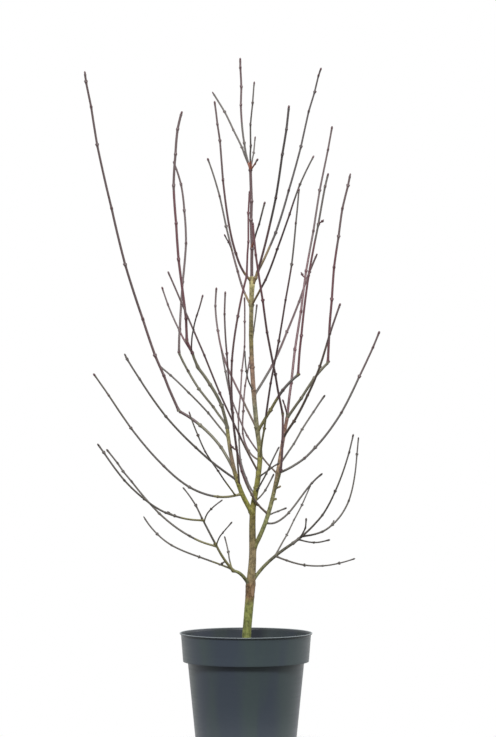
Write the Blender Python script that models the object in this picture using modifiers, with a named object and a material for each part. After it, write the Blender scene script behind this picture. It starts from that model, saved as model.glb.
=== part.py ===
"""A bare japanese maple, about 1.2 m tall, in a five-litre nursery pot.

Sizes are millimetres in the tables and metres in the scene, with +Z up. The origin is the middle of
the pot's flat underside. X runs across the plant, Y runs from its front to its back.

The tree is a trunk with two main boughs and two low ones. Everything younger than them is gathered
into masses of twigs. Each mass starts as one stem that stands a hair clear of the limb that carries
it, and forks on from there.
"""

import math
import random
from dataclasses import dataclass

import bmesh
import bpy
import numpy as np

OBJECT_NAME = "potted_japanese_maple"
MM = 0.001
CLEARANCE = 0.3  # gap that neighbouring solids keep

# Pot: an injection-moulded nursery pot
POT_HEIGHT = 200.0
LIP_RADIUS = 112.8
COLLAR_TOP_RADIUS = 110.6
COLLAR_FOOT_RADIUS = 107.2
COLLAR_HEIGHT = 45.5
BODY_TOP_RADIUS = 99.0
BASE_RADIUS = 84.0
POT_WALL = 1.8
LIP_DROP = 3.2
FOOT_ROUND = 3.0
POT_STEPS = 56
DRAIN_HOLES = 8
DRAIN_RADIUS = 5.5
DRAIN_CIRCLE = 66.0

# Compost: fills the pot to a little below its lip
COMPOST_TOP = 168.0
COMPOST_CROWN = 34.0  # radius of the flat middle that the trunk stands on
COMPOST_FALL = 4.0  # how far its edge has sunk

# Growth
INTERNODE = 44.0  # distance between a shoot's nodes
FOOT_RINGS = (0.3, 0.64)  # rings in a shoot's first internode, which bends most
TAPER = 0.8  # below 1, a limb loses more of its girth near its foot
KINK = 0.9  # how far a shoot steps sideways at a node
RING_STEP = 15.0  # distance between rings on the trunk and the boughs
TRUNK_SIDES = 10
BOUGH_SIDES = 8
TWIG_SIDES = 4


@dataclass(frozen=True)
class Station:
    """A place on the trunk: its height, how far it has swayed, and its diameter."""

    up: float
    across: float
    deep: float
    girth: float


@dataclass(frozen=True)
class Limb:
    """A tapering limb that bends from its foot to its tip in one smooth arc.

    foot is (across, up) of the place on the carrier's middle line that it springs from, tip is
    (across, deep, up). lean is the angle from upright at the foot and at the tip, in degrees, to the
    right where positive. girth is the diameter at the foot and at the tip. pull says how far the
    lean at each end holds along the limb.
    """

    name: str
    on: str
    foot: tuple
    tip: tuple
    lean: tuple
    girth: tuple
    pull: tuple = (1.0, 1.0)


@dataclass(frozen=True)
class Bark:
    """A colour of bark, as linear red, green and blue, and how rough it is."""

    name: str
    colour: tuple
    roughness: float


TRUNK_BARK = Bark("trunk_bark", (0.20, 0.17, 0.06), 0.7)
BOUGH_BARK = Bark("bough_bark", (0.22, 0.18, 0.07), 0.6)
OLIVE_TWIGS = Bark("olive_twigs", (0.16, 0.12, 0.06), 0.6)
GREY_TWIGS = Bark("grey_twigs", (0.08, 0.07, 0.06), 0.65)
MAROON_TWIGS = Bark("maroon_twigs", (0.15, 0.07, 0.08), 0.55)
CORAL_TWIGS = Bark("coral_twigs", (0.24, 0.11, 0.07), 0.55)

TRUNK = (
    Station(168.3, 0.0, 0.0, 23.0),
    Station(173.0, 0.0, 0.0, 19.0),
    Station(181.0, 0.2, 0.0, 16.2),
    Station(200.0, 1.4, 0.5, 15.2),
    Station(255.0, 6.0, 1.5, 15.3),
    Station(289.0, 8.5, 2.0, 15.0),
    Station(323.0, 11.0, 2.0, 12.7),
    Station(391.0, 11.0, 0.5, 10.8),
    Station(412.0, 12.0, 0.0, 9.9),
    Station(452.0, 18.7, -1.0, 9.1),
    Station(500.0, 23.8, -2.0, 8.4),
    Station(553.0, 18.0, -1.0, 7.9),
    Station(630.0, 11.6, 1.5, 7.8),
    Station(697.0, 8.8, 2.0, 7.4),
    Station(765.0, 9.4, 1.0, 7.8),
    Station(792.0, 10.0, 0.0, 8.8),
    Station(805.0, 9.6, 0.0, 7.6),
)

BOUGHS = (
    Limb("bough_left", "trunk", (11, 403), (-32, -25, 551), (-34, -6), (9.0, 6.0)),
    Limb("bough_right", "trunk", (11, 341), (70, -5, 565), (31, 12), (8.0, 5.9)),
    Limb("bough_low_left", "trunk", (8, 279), (-23, -10, 305), (-38, -96), (7.0, 5.0)),
    Limb("bough_low_right", "trunk", (8, 281), (81, 10, 352), (27, 57), (6.6, 4.8)),
)

# Short dead stubs, left where a shoot was pruned off, are one piece with the limb that they stand on.
STUBS = (
    Limb("stub_trunk", "trunk", (13, 418), (27, -4, 416), (92, 98), (3.2, 2.6)),
    Limb("stub_bough_low", "bough_right", (43, 424), (56, 3, 430), (62, 66), (3.0, 2.5)),
    Limb("stub_bough_high", "bough_right", (49, 443), (63, -7, 452), (56, 60), (2.8, 2.3)),
)

# Masses of twigs: the first limb of each is its stem, and the rest fork from limbs before them.
MASSES = {
    "twigs_leader": (
        CORAL_TWIGS,
        Limb("leader", "trunk", (10, 798), (8.5, 10, 993), (0, 0), (5.4, 5.0)),
        Limb("leader_spire", "leader", (8.5, 993), (-10, 25, 1180), (-20, -4), (3.5, 3.5)),
        Limb("leader_right", "leader", (8.5, 993), (14, -50, 1133), (-2, 6), (3.4, 2.6)),
        Limb("leader_left", "leader", (8.5, 991), (-59, 120, 1130), (-21, -32), (3.5, 3.1)),
        Limb("leader_back", "leader", (8.5, 993), (16, 55, 1048), (11, 8), (2.9, 2.4)),
        Limb("leader_spur", "leader", (8.5, 990), (20, -12, 1004), (52, 30), (2.7, 2.4)),
        Limb("leader_low", "leader", (11, 855), (32, -58, 930), (17, 16), (3.3, 3.2)),
    ),
    "twigs_top_left": (
        MAROON_TWIGS,
        Limb("top_left", "trunk", (10, 797), (-53, -75, 1098), (-52, -10), (4.4, 3.2), (0.6, 1.0)),
    ),
    "twigs_top_right": (
        MAROON_TWIGS,
        Limb("top_right", "trunk", (10, 790), (21, -6, 816), (38, 30), (5.0, 4.7)),
        Limb("top_right_front", "top_right", (20, 814), (72, -98, 1089), (17, 7), (4.0, 3.8)),
        Limb("top_right_tall", "top_right", (21, 816), (129, 45, 1165), (28, 17), (4.2, 2.9)),
    ),
    "twigs_whorl_left": (
        MAROON_TWIGS,
        Limb("whorl_left", "trunk", (9, 756), (-66.5, 60, 1011), (-35, -21), (4.2, 2.9), (0.6, 1.0)),
        Limb("whorl_left_spur", "whorl_left", (-26, 850), (-37, 8, 878), (-20, -22), (2.6, 2.3)),
    ),
    "twigs_whorl_right": (
        MAROON_TWIGS,
        Limb("whorl_right", "trunk", (9, 756), (112, -190, 999), (31, 28), (3.9, 2.7)),
    ),
    "twigs_inner_right": (
        MAROON_TWIGS,
        Limb("inner_right", "trunk", (14, 603), (125, 175, 851), (34, 23), (4.6, 3.4)),
    ),
    "twigs_inner_spur": (
        GREY_TWIGS,
        Limb("inner_spur", "trunk", (13, 610), (-2, -40, 680), (-32, -2), (2.7, 2.4)),
    ),
    "twigs_arm_right": (
        OLIVE_TWIGS,
        Limb("arm_right", "trunk", (19, 542), (92, -30, 641), (33, 54), (5.6, 4.6)),
        Limb("arm_right_shoot", "arm_right", (91, 640), (139, -42, 979), (3, 12), (4.2, 3.4)),
    ),
    "twigs_inner_left": (
        MAROON_TWIGS,
        Limb("inner_left", "trunk", (18, 545), (-52, 195, 792), (-26, 4), (3.8, 3.3)),
    ),
    "twigs_front_right": (
        OLIVE_TWIGS,
        Limb("front_right", "trunk", (24, 494), (87, -200, 945), (6, 3), (3.9, 2.8)),
    ),
    "twigs_back_middle": (
        MAROON_TWIGS,
        Limb("back_middle", "trunk", (24, 493), (19, 160, 762), (-72, 4), (3.2, 2.8), (0.6, 1.0)),
    ),
    "twigs_mid_left": (
        MAROON_TWIGS,
        Limb("mid_left", "trunk", (20, 472), (-131, -85, 812), (-29, -25), (3.6, 3.1)),
    ),
    "twigs_mid_right": (
        GREY_TWIGS,
        Limb("mid_right", "trunk", (20, 464), (57, -30, 489), (58, 68), (2.9, 2.5)),
    ),
    "twigs_low_fork": (
        GREY_TWIGS,
        Limb("low_fork", "trunk", (17, 440), (56, -65, 518), (40, 29), (3.0, 2.6), (0.4, 1.0)),
    ),
    "twigs_back_left": (
        MAROON_TWIGS,
        Limb("back_left", "trunk", (16, 434), (-3, 205, 775), (-38, -4), (3.2, 2.8), (0.7, 1.0)),
    ),
    "twigs_hook": (
        GREY_TWIGS,
        Limb("hook", "trunk", (13, 424), (48, 20, 470), (82, 27), (2.8, 2.8), (0.6, 1.0)),
    ),
    "twigs_reach_left": (
        OLIVE_TWIGS,
        Limb("reach_left", "bough_left", (-4, 438), (-258, -40, 641), (-110, -35), (4.3, 3.0)),
        Limb("reach_left_front", "reach_left", (-18, 434), (-95, -118, 578), (-35, -17), (2.9, 2.5)),
    ),
    "twigs_wing_left": (
        GREY_TWIGS,
        Limb("wing_left", "bough_left", (-14, 460), (-203, -105, 674), (-56, -29), (4.0, 3.1)),
    ),
    "twigs_tall_left": (
        OLIVE_TWIGS,
        Limb("tall_left_arm", "bough_left", (-19.5, 471), (-118.5, 20, 578), (-23, -66), (5.2, 5.0)),
        Limb("tall_left", "tall_left_arm", (-118, 577), (-276, 35, 1158), (-25, -9), (4.8, 3.8)),
    ),
    "twigs_behind_left": (
        GREY_TWIGS,
        Limb("behind_left", "bough_left", (-30.5, 531), (-150, 78, 654), (-39, -50), (3.3, 3.1)),
    ),
    "twigs_crown_left": (
        MAROON_TWIGS,
        Limb("crown_left", "bough_left", (-32, 547), (-84, -45, 654), (-8, -41), (5.6, 5.2)),
        Limb("crown_left_arm", "crown_left", (-32.5, 552), (-116.5, 40, 680), (-36, -21), (4.2, 4.1)),
        Limb("crown_left_back", "crown_left_arm", (-116, 679), (-126, 100, 1008), (-1, -22), (4.2, 3.4)),
        Limb("crown_left_neck", "crown_left", (-83.5, 653), (-102, -56, 700), (-22, -24), (5.0, 4.8)),
        Limb(
            "crown_left_tall", "crown_left_neck", (-101.5, 699), (-107, -75, 1081), (2, 16), (4.6, 4.2),
            (0.5, 1.0),
        ),
        Limb("crown_left_front", "crown_left_neck", (-93.5, 678), (-71, -170, 771), (2, 12), (2.7, 2.7)),
        Limb("crown_left_low", "crown_left_neck", (-93, 676), (-143, -12, 788), (-36, -20), (3.6, 2.7)),
    ),
    "twigs_strand_left": (
        MAROON_TWIGS,
        Limb("strand_left", "bough_left", (-9, 449), (-34, -150, 777), (-3, 2.5), (3.4, 2.9)),
    ),
    "twigs_strand_right": (
        MAROON_TWIGS,
        Limb("strand_foot", "bough_right", (37, 402), (-17, -28, 519), (-54, -12), (3.8, 3.6)),
        Limb("strand_right", "strand_foot", (-17, 517), (2.5, -92, 808), (-9, 16), (3.7, 3.6)),
        Limb("strand_right_end", "strand_right", (2.5, 807), (6, -105, 946), (2, 2), (3.5, 3.0)),
    ),
    "twigs_scoop_right": (
        GREY_TWIGS,
        Limb("scoop_right", "bough_right", (33, 387), (132, 60, 469), (112, 54), (3.5, 3.3), (0.8, 1.0)),
    ),
    "twigs_low_spur": (
        GREY_TWIGS,
        Limb("low_spur", "bough_right", (38.5, 399), (70, 35, 410.5), (72, 72), (2.8, 2.7)),
    ),
    "twigs_sway_right": (
        OLIVE_TWIGS,
        Limb("sway_foot", "bough_right", (46.5, 438), (62, -40, 577), (27, -2), (3.9, 3.9), (0.7, 1.0)),
        Limb("sway_right", "sway_foot", (62, 575), (11, -185, 890), (-12, -6), (4.0, 3.7)),
    ),
    "twigs_back_right": (
        MAROON_TWIGS,
        Limb("back_right", "bough_right", (53, 470), (-43, 105, 684), (-47, -8), (3.2, 2.8)),
    ),
    "twigs_reach_right": (
        OLIVE_TWIGS,
        Limb("reach_right", "bough_right", (54, 471), (228, 18, 713), (72, 23), (4.2, 3.4), (0.9, 1.0)),
    ),
    "twigs_behind_right": (
        GREY_TWIGS,
        Limb("behind_right", "bough_right", (55, 484), (138, 150, 603), (37, 36), (3.4, 3.2)),
    ),
    "twigs_wing_right": (
        OLIVE_TWIGS,
        Limb("wing_right", "bough_right", (63, 534), (156, -165, 757), (34, 19), (4.6, 3.3)),
    ),
    "twigs_crown_right": (
        MAROON_TWIGS,
        Limb("crown_right", "bough_right", (70, 561), (150, 130, 1071), (6.5, 11), (4.9, 3.3)),
        Limb("crown_right_arm", "crown_right", (70.5, 565), (142, -35, 662), (37, 47), (4.9, 4.4)),
        Limb("crown_right_shoot", "crown_right_arm", (141, 661), (176, -55, 978), (2, 14), (4.5, 3.7)),
        Limb("crown_right_spur", "crown_right", (71, 570), (62, -16, 597), (-16, -16), (2.7, 2.4)),
    ),
    "twigs_low_left": (
        GREY_TWIGS,
        Limb("low_left", "bough_low_left", (-21, 305), (-107, -45, 449), (-42, -41), (5.0, 2.3)),
        Limb("low_left_long", "low_left", (-26, 307), (-178, 110, 393), (-70, -30), (3.3, 2.8)),
        Limb("low_left_reach", "low_left", (-50, 348), (-238, 10, 512), (-79.5, -38), (3.7, 2.9)),
        Limb("low_left_front", "low_left", (-72, 393), (-246, -150, 525), (-88.5, -34), (3.5, 3.1)),
        Limb("low_left_tuft", "low_left", (-70, 390), (-39, -78, 429), (14, 55), (2.6, 2.3)),
        Limb("low_left_inner", "low_left", (-49, 350), (-23, -72, 392), (15, 40), (2.5, 2.2)),
        Limb("low_left_upright", "low_left", (-25, 307), (-37, 25, 363), (-18, -16), (2.8, 2.5)),
    ),
    "twigs_low_right": (
        GREY_TWIGS,
        Limb("low_right", "bough_low_right", (78, 352), (99, 16, 366), (57, 57), (4.8, 4.3)),
        Limb("low_right_tall", "low_right", (98, 365), (181, -55, 539), (50, 14), (3.6, 2.7)),
        Limb("low_right_reach", "low_right", (98, 365), (193, 50, 533), (88, 3), (3.6, 2.4), (1.25, 1.25)),
        Limb("low_right_flat", "low_right", (88, 359), (145, 45, 356), (108, 74), (2.9, 2.5), (1.2, 1.2)),
        Limb("low_right_spur", "low_right", (92, 361), (102, -22, 396), (30, 5), (2.9, 2.6)),
    ),
    "twigs_low_reach": (
        GREY_TWIGS,
        Limb("low_reach", "bough_low_right", (50, 330), (184, -65, 330), (113, 70), (3.3, 2.4)),
    ),
    "twigs_low_upright": (
        GREY_TWIGS,
        Limb("low_upright", "bough_low_right", (49, 329), (113, 150, 446), (31, 24), (3.0, 2.3)),
    ),
}


def clear_scene():
    """Removes what the file started with."""
    for thing in list(bpy.data.objects):
        bpy.data.objects.remove(thing)


def collection(name):
    """Makes a collection in the scene."""
    made = bpy.data.collections.new(name)
    bpy.context.scene.collection.children.link(made)
    return made


def material(name, colour, roughness):
    """Makes a Principled BSDF material with a plain linear colour."""
    made = bpy.data.materials.new(name)
    made.use_nodes = True
    shader = made.node_tree.nodes["Principled BSDF"]
    shader.inputs["Base Color"].default_value = (*colour, 1.0)
    shader.inputs["Roughness"].default_value = roughness
    shader.inputs["Metallic"].default_value = 0.0
    made.diffuse_color = (*colour, 1.0)
    return made


def smooth_line(heights, values, at):
    """Reads a smooth line through the values that stand at the given heights."""
    heights, values = np.array(heights), np.array(values)
    slopes = np.gradient(values, heights)
    k = np.clip(np.searchsorted(heights, at) - 1, 0, len(heights) - 2)
    span = heights[k + 1] - heights[k]
    t = (at - heights[k]) / span
    return (
        (2 * t**3 - 3 * t**2 + 1) * values[k]
        + (t**3 - 2 * t**2 + t) * span * slopes[k]
        + (3 * t**2 - 2 * t**3) * values[k + 1]
        + (t**3 - t**2) * span * slopes[k + 1]
    )


def trunk_path():
    """Works out the trunk's rings: an array of points and one of radii, in millimetres."""
    foot, top = TRUNK[0].up, TRUNK[-1].up
    rings = round((top - foot) / RING_STEP)
    heights = np.concatenate([[s.up for s in TRUNK[:3]], np.linspace(TRUNK[3].up, top, rings)])
    stations = [s.up for s in TRUNK]
    across = smooth_line(stations, [s.across for s in TRUNK], heights)
    deep = smooth_line(stations, [s.deep for s in TRUNK], heights)
    girth = smooth_line(stations, [s.girth for s in TRUNK], heights)
    return np.stack([across, deep, heights], axis=1), girth / 2


def place_on(path, across, up):
    """Finds the point of a carrier's middle line that lies nearest to (across, up)."""
    best, best_gap = None, math.inf
    target = np.array([across, up])
    for a, b in zip(path[:-1], path[1:]):
        flat_a, flat_b = a[[0, 2]], b[[0, 2]]
        run = flat_b - flat_a
        share = np.clip(np.dot(target - flat_a, run) / np.dot(run, run), 0.0, 1.0)
        gap = np.linalg.norm(flat_a + share * run - target)
        if gap < best_gap:
            best, best_gap = a + share * (b - a), gap
    return best


def limb_path(limb, carrier, is_bough):
    """Works out a limb's rings: points along its arc, kinked a little at each node, and radii."""
    start = place_on(carrier, *limb.foot)
    tip = np.array(limb.tip, dtype=float)
    chord = np.linalg.norm(tip - start)
    ends = []
    for lean, pull in zip(limb.lean, limb.pull):
        angle = math.radians(lean)
        ends.append(chord * pull * np.array([math.sin(angle), 0.0, math.cos(angle)]))

    def at(t):
        flat = (
            (2 * t**3 - 3 * t**2 + 1) * start
            + (t**3 - 2 * t**2 + t) * ends[0]
            + (3 * t**2 - 2 * t**3) * tip
            + (t**3 - t**2) * ends[1]
        )
        flat[1] = start[1] + (tip[1] - start[1]) * math.sin(t * math.pi / 2)
        return flat

    internodes = max(2, round(chord / (RING_STEP if is_bough else INTERNODE)))
    first = 1.0 / internodes
    shares = [0.0] + [first * share for share in FOOT_RINGS]
    shares += [first * n for n in range(1, internodes + 1)]
    points = np.array([at(t) for t in shares])
    if not is_bough:
        kinks = random.Random(limb.name)
        for n in range(1 + len(FOOT_RINGS), len(points) - 1):
            side = KINK if n % 2 else -KINK
            points[n, 0] += side * kinks.uniform(0.5, 1.0)
            points[n, 1] += side * kinks.uniform(-1.0, 1.0)
    shares = np.array(shares)
    girth = limb.girth[0] + (limb.girth[1] - limb.girth[0]) * shares**TAPER
    return points, girth / 2


def all_paths():
    """Works out every limb's rings by name, carriers first."""
    paths = {"trunk": trunk_path()}
    for bough in BOUGHS:
        paths[bough.name] = limb_path(bough, paths[bough.on][0], is_bough=True)
    for stub in STUBS:
        paths[stub.name] = limb_path(stub, paths[stub.on][0], is_bough=False)
    for _, *limbs in MASSES.values():
        for limb in limbs:
            paths[limb.name] = limb_path(limb, paths[limb.on][0], is_bough=False)
    return paths


def as_mesh_object(thing, name, into):
    """Turns an object's evaluated shape into a plain mesh object and removes the original."""
    evaluated = thing.evaluated_get(bpy.context.evaluated_depsgraph_get())
    mesh = bpy.data.meshes.new_from_object(evaluated)
    work = bmesh.new()
    work.from_mesh(mesh)
    bmesh.ops.remove_doubles(work, verts=work.verts, dist=1e-6)
    bmesh.ops.dissolve_degenerate(work, edges=work.edges, dist=1e-6)
    work.to_mesh(mesh)
    work.free()
    placed = thing.matrix_world.copy()
    bpy.data.objects.remove(thing)
    made = bpy.data.objects.new(name, mesh)
    made.matrix_world = placed
    into.objects.link(made)
    return made


def tube(name, path, sides, into, grow=0.0):
    """Makes a closed tapering tube, thicker and longer by grow all round where it is a cutter."""
    points, radii = path
    points = points.copy()
    if grow:
        for end, inner in ((0, 1), (-1, -2)):
            outward = points[end] - points[inner]
            points[end] = points[end] + outward / np.linalg.norm(outward) * grow
    curve = bpy.data.curves.new(name, "CURVE")
    curve.dimensions = "3D"
    curve.bevel_depth = MM
    curve.bevel_resolution = (sides - 4) // 2
    curve.use_fill_caps = True
    spline = curve.splines.new("POLY")
    spline.points.add(len(points) - 1)
    for place, point, radius in zip(spline.points, points, radii):
        place.co = (*(point * MM), 1.0)
        place.radius = radius + grow
    thing = bpy.data.objects.new(name, curve)
    into.objects.link(thing)
    return as_mesh_object(thing, name, into)


def joined(first, others, name, into):
    """Joins meshes into one body with a Boolean union."""
    if not others:
        first.name = name
        return first
    group = bpy.data.collections.new(name + "_limbs")
    for other in others:
        group.objects.link(other)
    union = first.modifiers.new("join", "BOOLEAN")
    union.operation = "UNION"
    union.solver = "EXACT"
    union.operand_type = "COLLECTION"
    union.collection = group
    bpy.context.view_layer.update()
    made = as_mesh_object(first, name, into)
    for other in others:
        bpy.data.objects.remove(other)
    bpy.data.collections.remove(group)
    made.name = name
    return made


def cut_clear(thing, cutter, into):
    """Cuts a limb's foot to the shape of its carrier, a clearance away from it."""
    cut = thing.modifiers.new("clear", "BOOLEAN")
    cut.operation = "DIFFERENCE"
    cut.solver = "EXACT"
    cut.object = cutter
    bpy.context.view_layer.update()
    name = thing.name
    made = as_mesh_object(thing, name, into)
    made.name = name
    bpy.data.objects.remove(cutter)
    return made


def finish(thing, bark):
    """Gives a limb its bark and shades it smooth across its shallow edges."""
    thing.data.materials.clear()
    thing.data.materials.append(bark)
    thing.data.shade_smooth()
    thing.data.set_sharp_from_angle(angle=math.radians(50))


def turned(name, profile, steps, into):
    """Spins a profile of (radius, height) pairs in millimetres into a closed body."""
    mesh = bpy.data.meshes.new(name)
    points = [(radius * MM, 0.0, height * MM) for radius, height in profile]
    mesh.from_pydata(points, [(n, n + 1) for n in range(len(points) - 1)], [])
    thing = bpy.data.objects.new(name, mesh)
    into.objects.link(thing)
    screw = thing.modifiers.new("turn", "SCREW")
    screw.steps = steps
    screw.render_steps = steps
    screw.use_merge_vertices = True
    screw.merge_threshold = 0.00001
    return thing


def pot_outside():
    """Lists the pot's outer outline, from its lip down to its foot."""
    collar_foot = POT_HEIGHT - COLLAR_HEIGHT - LIP_DROP
    return [
        (LIP_RADIUS - 1.0, POT_HEIGHT),
        (LIP_RADIUS, POT_HEIGHT - 0.8),
        (LIP_RADIUS - 0.2, POT_HEIGHT - LIP_DROP + 1.0),
        (COLLAR_TOP_RADIUS, POT_HEIGHT - LIP_DROP - 0.6),
        (COLLAR_FOOT_RADIUS, collar_foot + 3.0),
        (COLLAR_FOOT_RADIUS - 1.2, collar_foot),
        (BODY_TOP_RADIUS + 0.6, collar_foot - 1.4),
        (BODY_TOP_RADIUS, collar_foot - 3.0),
        (BASE_RADIUS + 0.5, FOOT_ROUND),
        (BASE_RADIUS - 0.8, FOOT_ROUND * 0.25),
        (BASE_RADIUS - FOOT_ROUND, 0.0),
        (0.0, 0.0),
    ]


def pot_inside():
    """Lists the pot's inner outline, from the middle of its floor up to its lip."""
    ledge = POT_HEIGHT - COLLAR_HEIGHT - LIP_DROP
    return [
        (0.0, POT_WALL),
        (BASE_RADIUS - POT_WALL - 2.0, POT_WALL),
        (BASE_RADIUS - POT_WALL + 0.4, POT_WALL + FOOT_ROUND),
        (BODY_TOP_RADIUS - POT_WALL, ledge - 2.4),
        (BODY_TOP_RADIUS - POT_WALL + 0.8, ledge + POT_WALL - 1.2),
        (COLLAR_FOOT_RADIUS - POT_WALL - 1.0, ledge + POT_WALL + 0.4),
        (COLLAR_FOOT_RADIUS - POT_WALL, ledge + POT_WALL + 2.6),
        (COLLAR_TOP_RADIUS - POT_WALL, POT_HEIGHT - LIP_DROP),
        (LIP_RADIUS - POT_WALL - 0.8, POT_HEIGHT - 0.6),
    ]


def build_pot(parts, cutters):
    """Makes the pot: one thin shell with a collar, a rolled lip and drain holes in its floor."""
    pot = turned("pot", pot_inside() + pot_outside(), POT_STEPS, parts)
    pot.data.materials.append(material("slate_plastic", (0.062, 0.078, 0.092), 0.45))
    for n in range(DRAIN_HOLES):
        turn = 2 * math.pi * (n + 0.5) / DRAIN_HOLES
        mesh = bpy.data.meshes.new("drain_cutter")
        work = bmesh.new()
        bmesh.ops.create_cone(
            work, cap_ends=True, segments=12, radius1=DRAIN_RADIUS * MM, radius2=DRAIN_RADIUS * MM,
            depth=POT_WALL * 4 * MM,
        )
        work.to_mesh(mesh)
        work.free()
        cutter = bpy.data.objects.new(f"drain_cutter_{n + 1}", mesh)
        cutter.location = (DRAIN_CIRCLE * MM * math.cos(turn), DRAIN_CIRCLE * MM * math.sin(turn), 0.0)
        cutter.hide_render = True
        cutter.display_type = "WIRE"
        cutters.objects.link(cutter)
    drain = pot.modifiers.new("drain", "BOOLEAN")
    drain.operation = "DIFFERENCE"
    drain.solver = "EXACT"
    drain.operand_type = "COLLECTION"
    drain.collection = cutters
    return pot


def build_compost(parts):
    """Makes the compost: it fills the pot, a clearance inside its wall, up to the trunk's foot."""
    below = [
        (max(radius - CLEARANCE, 0.0), height + CLEARANCE)
        for radius, height in pot_inside()
        if height < COMPOST_TOP - COMPOST_FALL - 8.0
    ]
    edge = COLLAR_FOOT_RADIUS - POT_WALL - CLEARANCE
    top = [
        (0.0, COMPOST_TOP),
        (COMPOST_CROWN, COMPOST_TOP),
        (edge * 0.8, COMPOST_TOP - COMPOST_FALL * 0.7),
        (edge + 0.4, COMPOST_TOP - COMPOST_FALL),
    ]
    compost = turned("compost", top + below[::-1], POT_STEPS, parts)
    compost.data.materials.append(material("bark_compost", (0.045, 0.028, 0.018), 0.95))
    return compost


def build_tree(parts):
    """Makes the trunk, the boughs and the masses of twigs."""
    paths = all_paths()
    barks = {
        bark.name: material(bark.name, bark.colour, bark.roughness)
        for bark in (TRUNK_BARK, BOUGH_BARK, OLIVE_TWIGS, GREY_TWIGS, MAROON_TWIGS, CORAL_TWIGS)
    }

    def stubbed(name, limb_sides):
        limb = tube(name, paths[name], limb_sides, parts)
        stubs = [tube(stub.name, paths[stub.name], TWIG_SIDES, parts) for stub in STUBS if stub.on == name]
        return joined(limb, stubs, name, parts)

    finish(stubbed("trunk", TRUNK_SIDES), barks["trunk_bark"])
    sides = {"trunk": TRUNK_SIDES}
    for bough in BOUGHS:
        sides[bough.name] = BOUGH_SIDES
        limb = stubbed(bough.name, BOUGH_SIDES)
        cutter = tube("carrier", paths[bough.on], sides[bough.on], parts, grow=CLEARANCE)
        finish(cut_clear(limb, cutter, parts), barks["bough_bark"])
    for name, (bark, *limbs) in MASSES.items():
        tubes = [tube(limb.name, paths[limb.name], TWIG_SIDES, parts) for limb in limbs]
        mass = joined(tubes[0], tubes[1:], name, parts)
        carrier = limbs[0].on
        cutter = tube("carrier", paths[carrier], sides[carrier], parts, grow=CLEARANCE)
        finish(cut_clear(mass, cutter, parts), barks[bark.name])


def main():
    """Builds the plant in its pot."""
    clear_scene()
    parts = collection(OBJECT_NAME)
    cutters = collection(OBJECT_NAME + "_cutters")
    build_tree(parts)
    build_compost(parts)
    build_pot(parts, cutters)


main()
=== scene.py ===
"""A bare japanese maple in a grey nursery pot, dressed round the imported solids.

Tables are in millimetres and angles in degrees, meshes are in metres with +Z up, and the origin is
the middle of the pot's underside. The tree grows by the rule that shaped its solids: each limb is one
arc from its carrier to its tip, with a small kink at every node. Here the rule is read more finely,
and goes on to node rings, spurs and buds.
"""

import itertools
import logging
import math
import random
from dataclasses import dataclass, field
from enum import Enum

import bpy
import numpy as np
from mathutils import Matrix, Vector

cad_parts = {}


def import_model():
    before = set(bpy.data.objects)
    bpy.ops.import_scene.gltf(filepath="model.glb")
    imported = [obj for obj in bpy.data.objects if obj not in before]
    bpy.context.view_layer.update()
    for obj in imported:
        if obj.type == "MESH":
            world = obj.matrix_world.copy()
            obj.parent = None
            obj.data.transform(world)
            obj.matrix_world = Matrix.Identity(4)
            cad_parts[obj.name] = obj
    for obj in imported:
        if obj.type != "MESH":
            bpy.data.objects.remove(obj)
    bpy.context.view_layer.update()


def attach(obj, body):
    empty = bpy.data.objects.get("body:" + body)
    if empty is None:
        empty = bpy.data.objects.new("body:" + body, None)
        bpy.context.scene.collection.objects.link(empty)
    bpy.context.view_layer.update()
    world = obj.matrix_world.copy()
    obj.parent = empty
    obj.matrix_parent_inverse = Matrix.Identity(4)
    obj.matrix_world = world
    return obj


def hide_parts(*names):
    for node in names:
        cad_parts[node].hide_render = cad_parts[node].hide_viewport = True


LOG = logging.getLogger("maple")
MM = 0.001
BODY = "root"

Source = bpy.types.Node | bpy.types.NodeSocket


class Slot(Enum):
    """The record's material slots."""

    POT = "slate_plastic"
    COMPOST = "bark_compost"
    TRUNK = "trunk_bark"
    BOUGH = "bough_bark"
    OLIVE = "olive_twigs"
    GREY = "grey_twigs"
    MAROON = "maroon_twigs"
    CORAL = "coral_twigs"


# Node trees


def linear(code: str) -> tuple[float, float, float, float]:
    """Turns a hash and six hex digits of sRGB into a linear colour with an alpha of 1."""
    channels = [int(code[n : n + 2], 16) / 255 for n in (1, 3, 5)]
    return *(c / 12.92 if c <= 0.04045 else ((c + 0.055) / 1.055) ** 2.4 for c in channels), 1.0


def add_node(tree: bpy.types.NodeTree, kind: str, values: dict | None = None) -> bpy.types.Node:
    """Adds a node.

    Args:
        tree: The node tree that it goes into.
        kind: Its type name.
        values: What its options and its inputs are set to, by name or number. A socket is linked,
            and so is a node, which stands for its first output.

    Returns:
        The new node.
    """
    node = tree.nodes.new(kind)
    values = dict(values or {})
    for key in [key for key in values if isinstance(key, str) and key.islower()]:
        setattr(node, key, values.pop(key))
    for key, value in values.items():
        if isinstance(value, Source):
            tree.links.new(value.outputs[0] if isinstance(value, bpy.types.Node) else value, node.inputs[key])
        else:
            node.inputs[key].default_value = value
    return node


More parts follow.
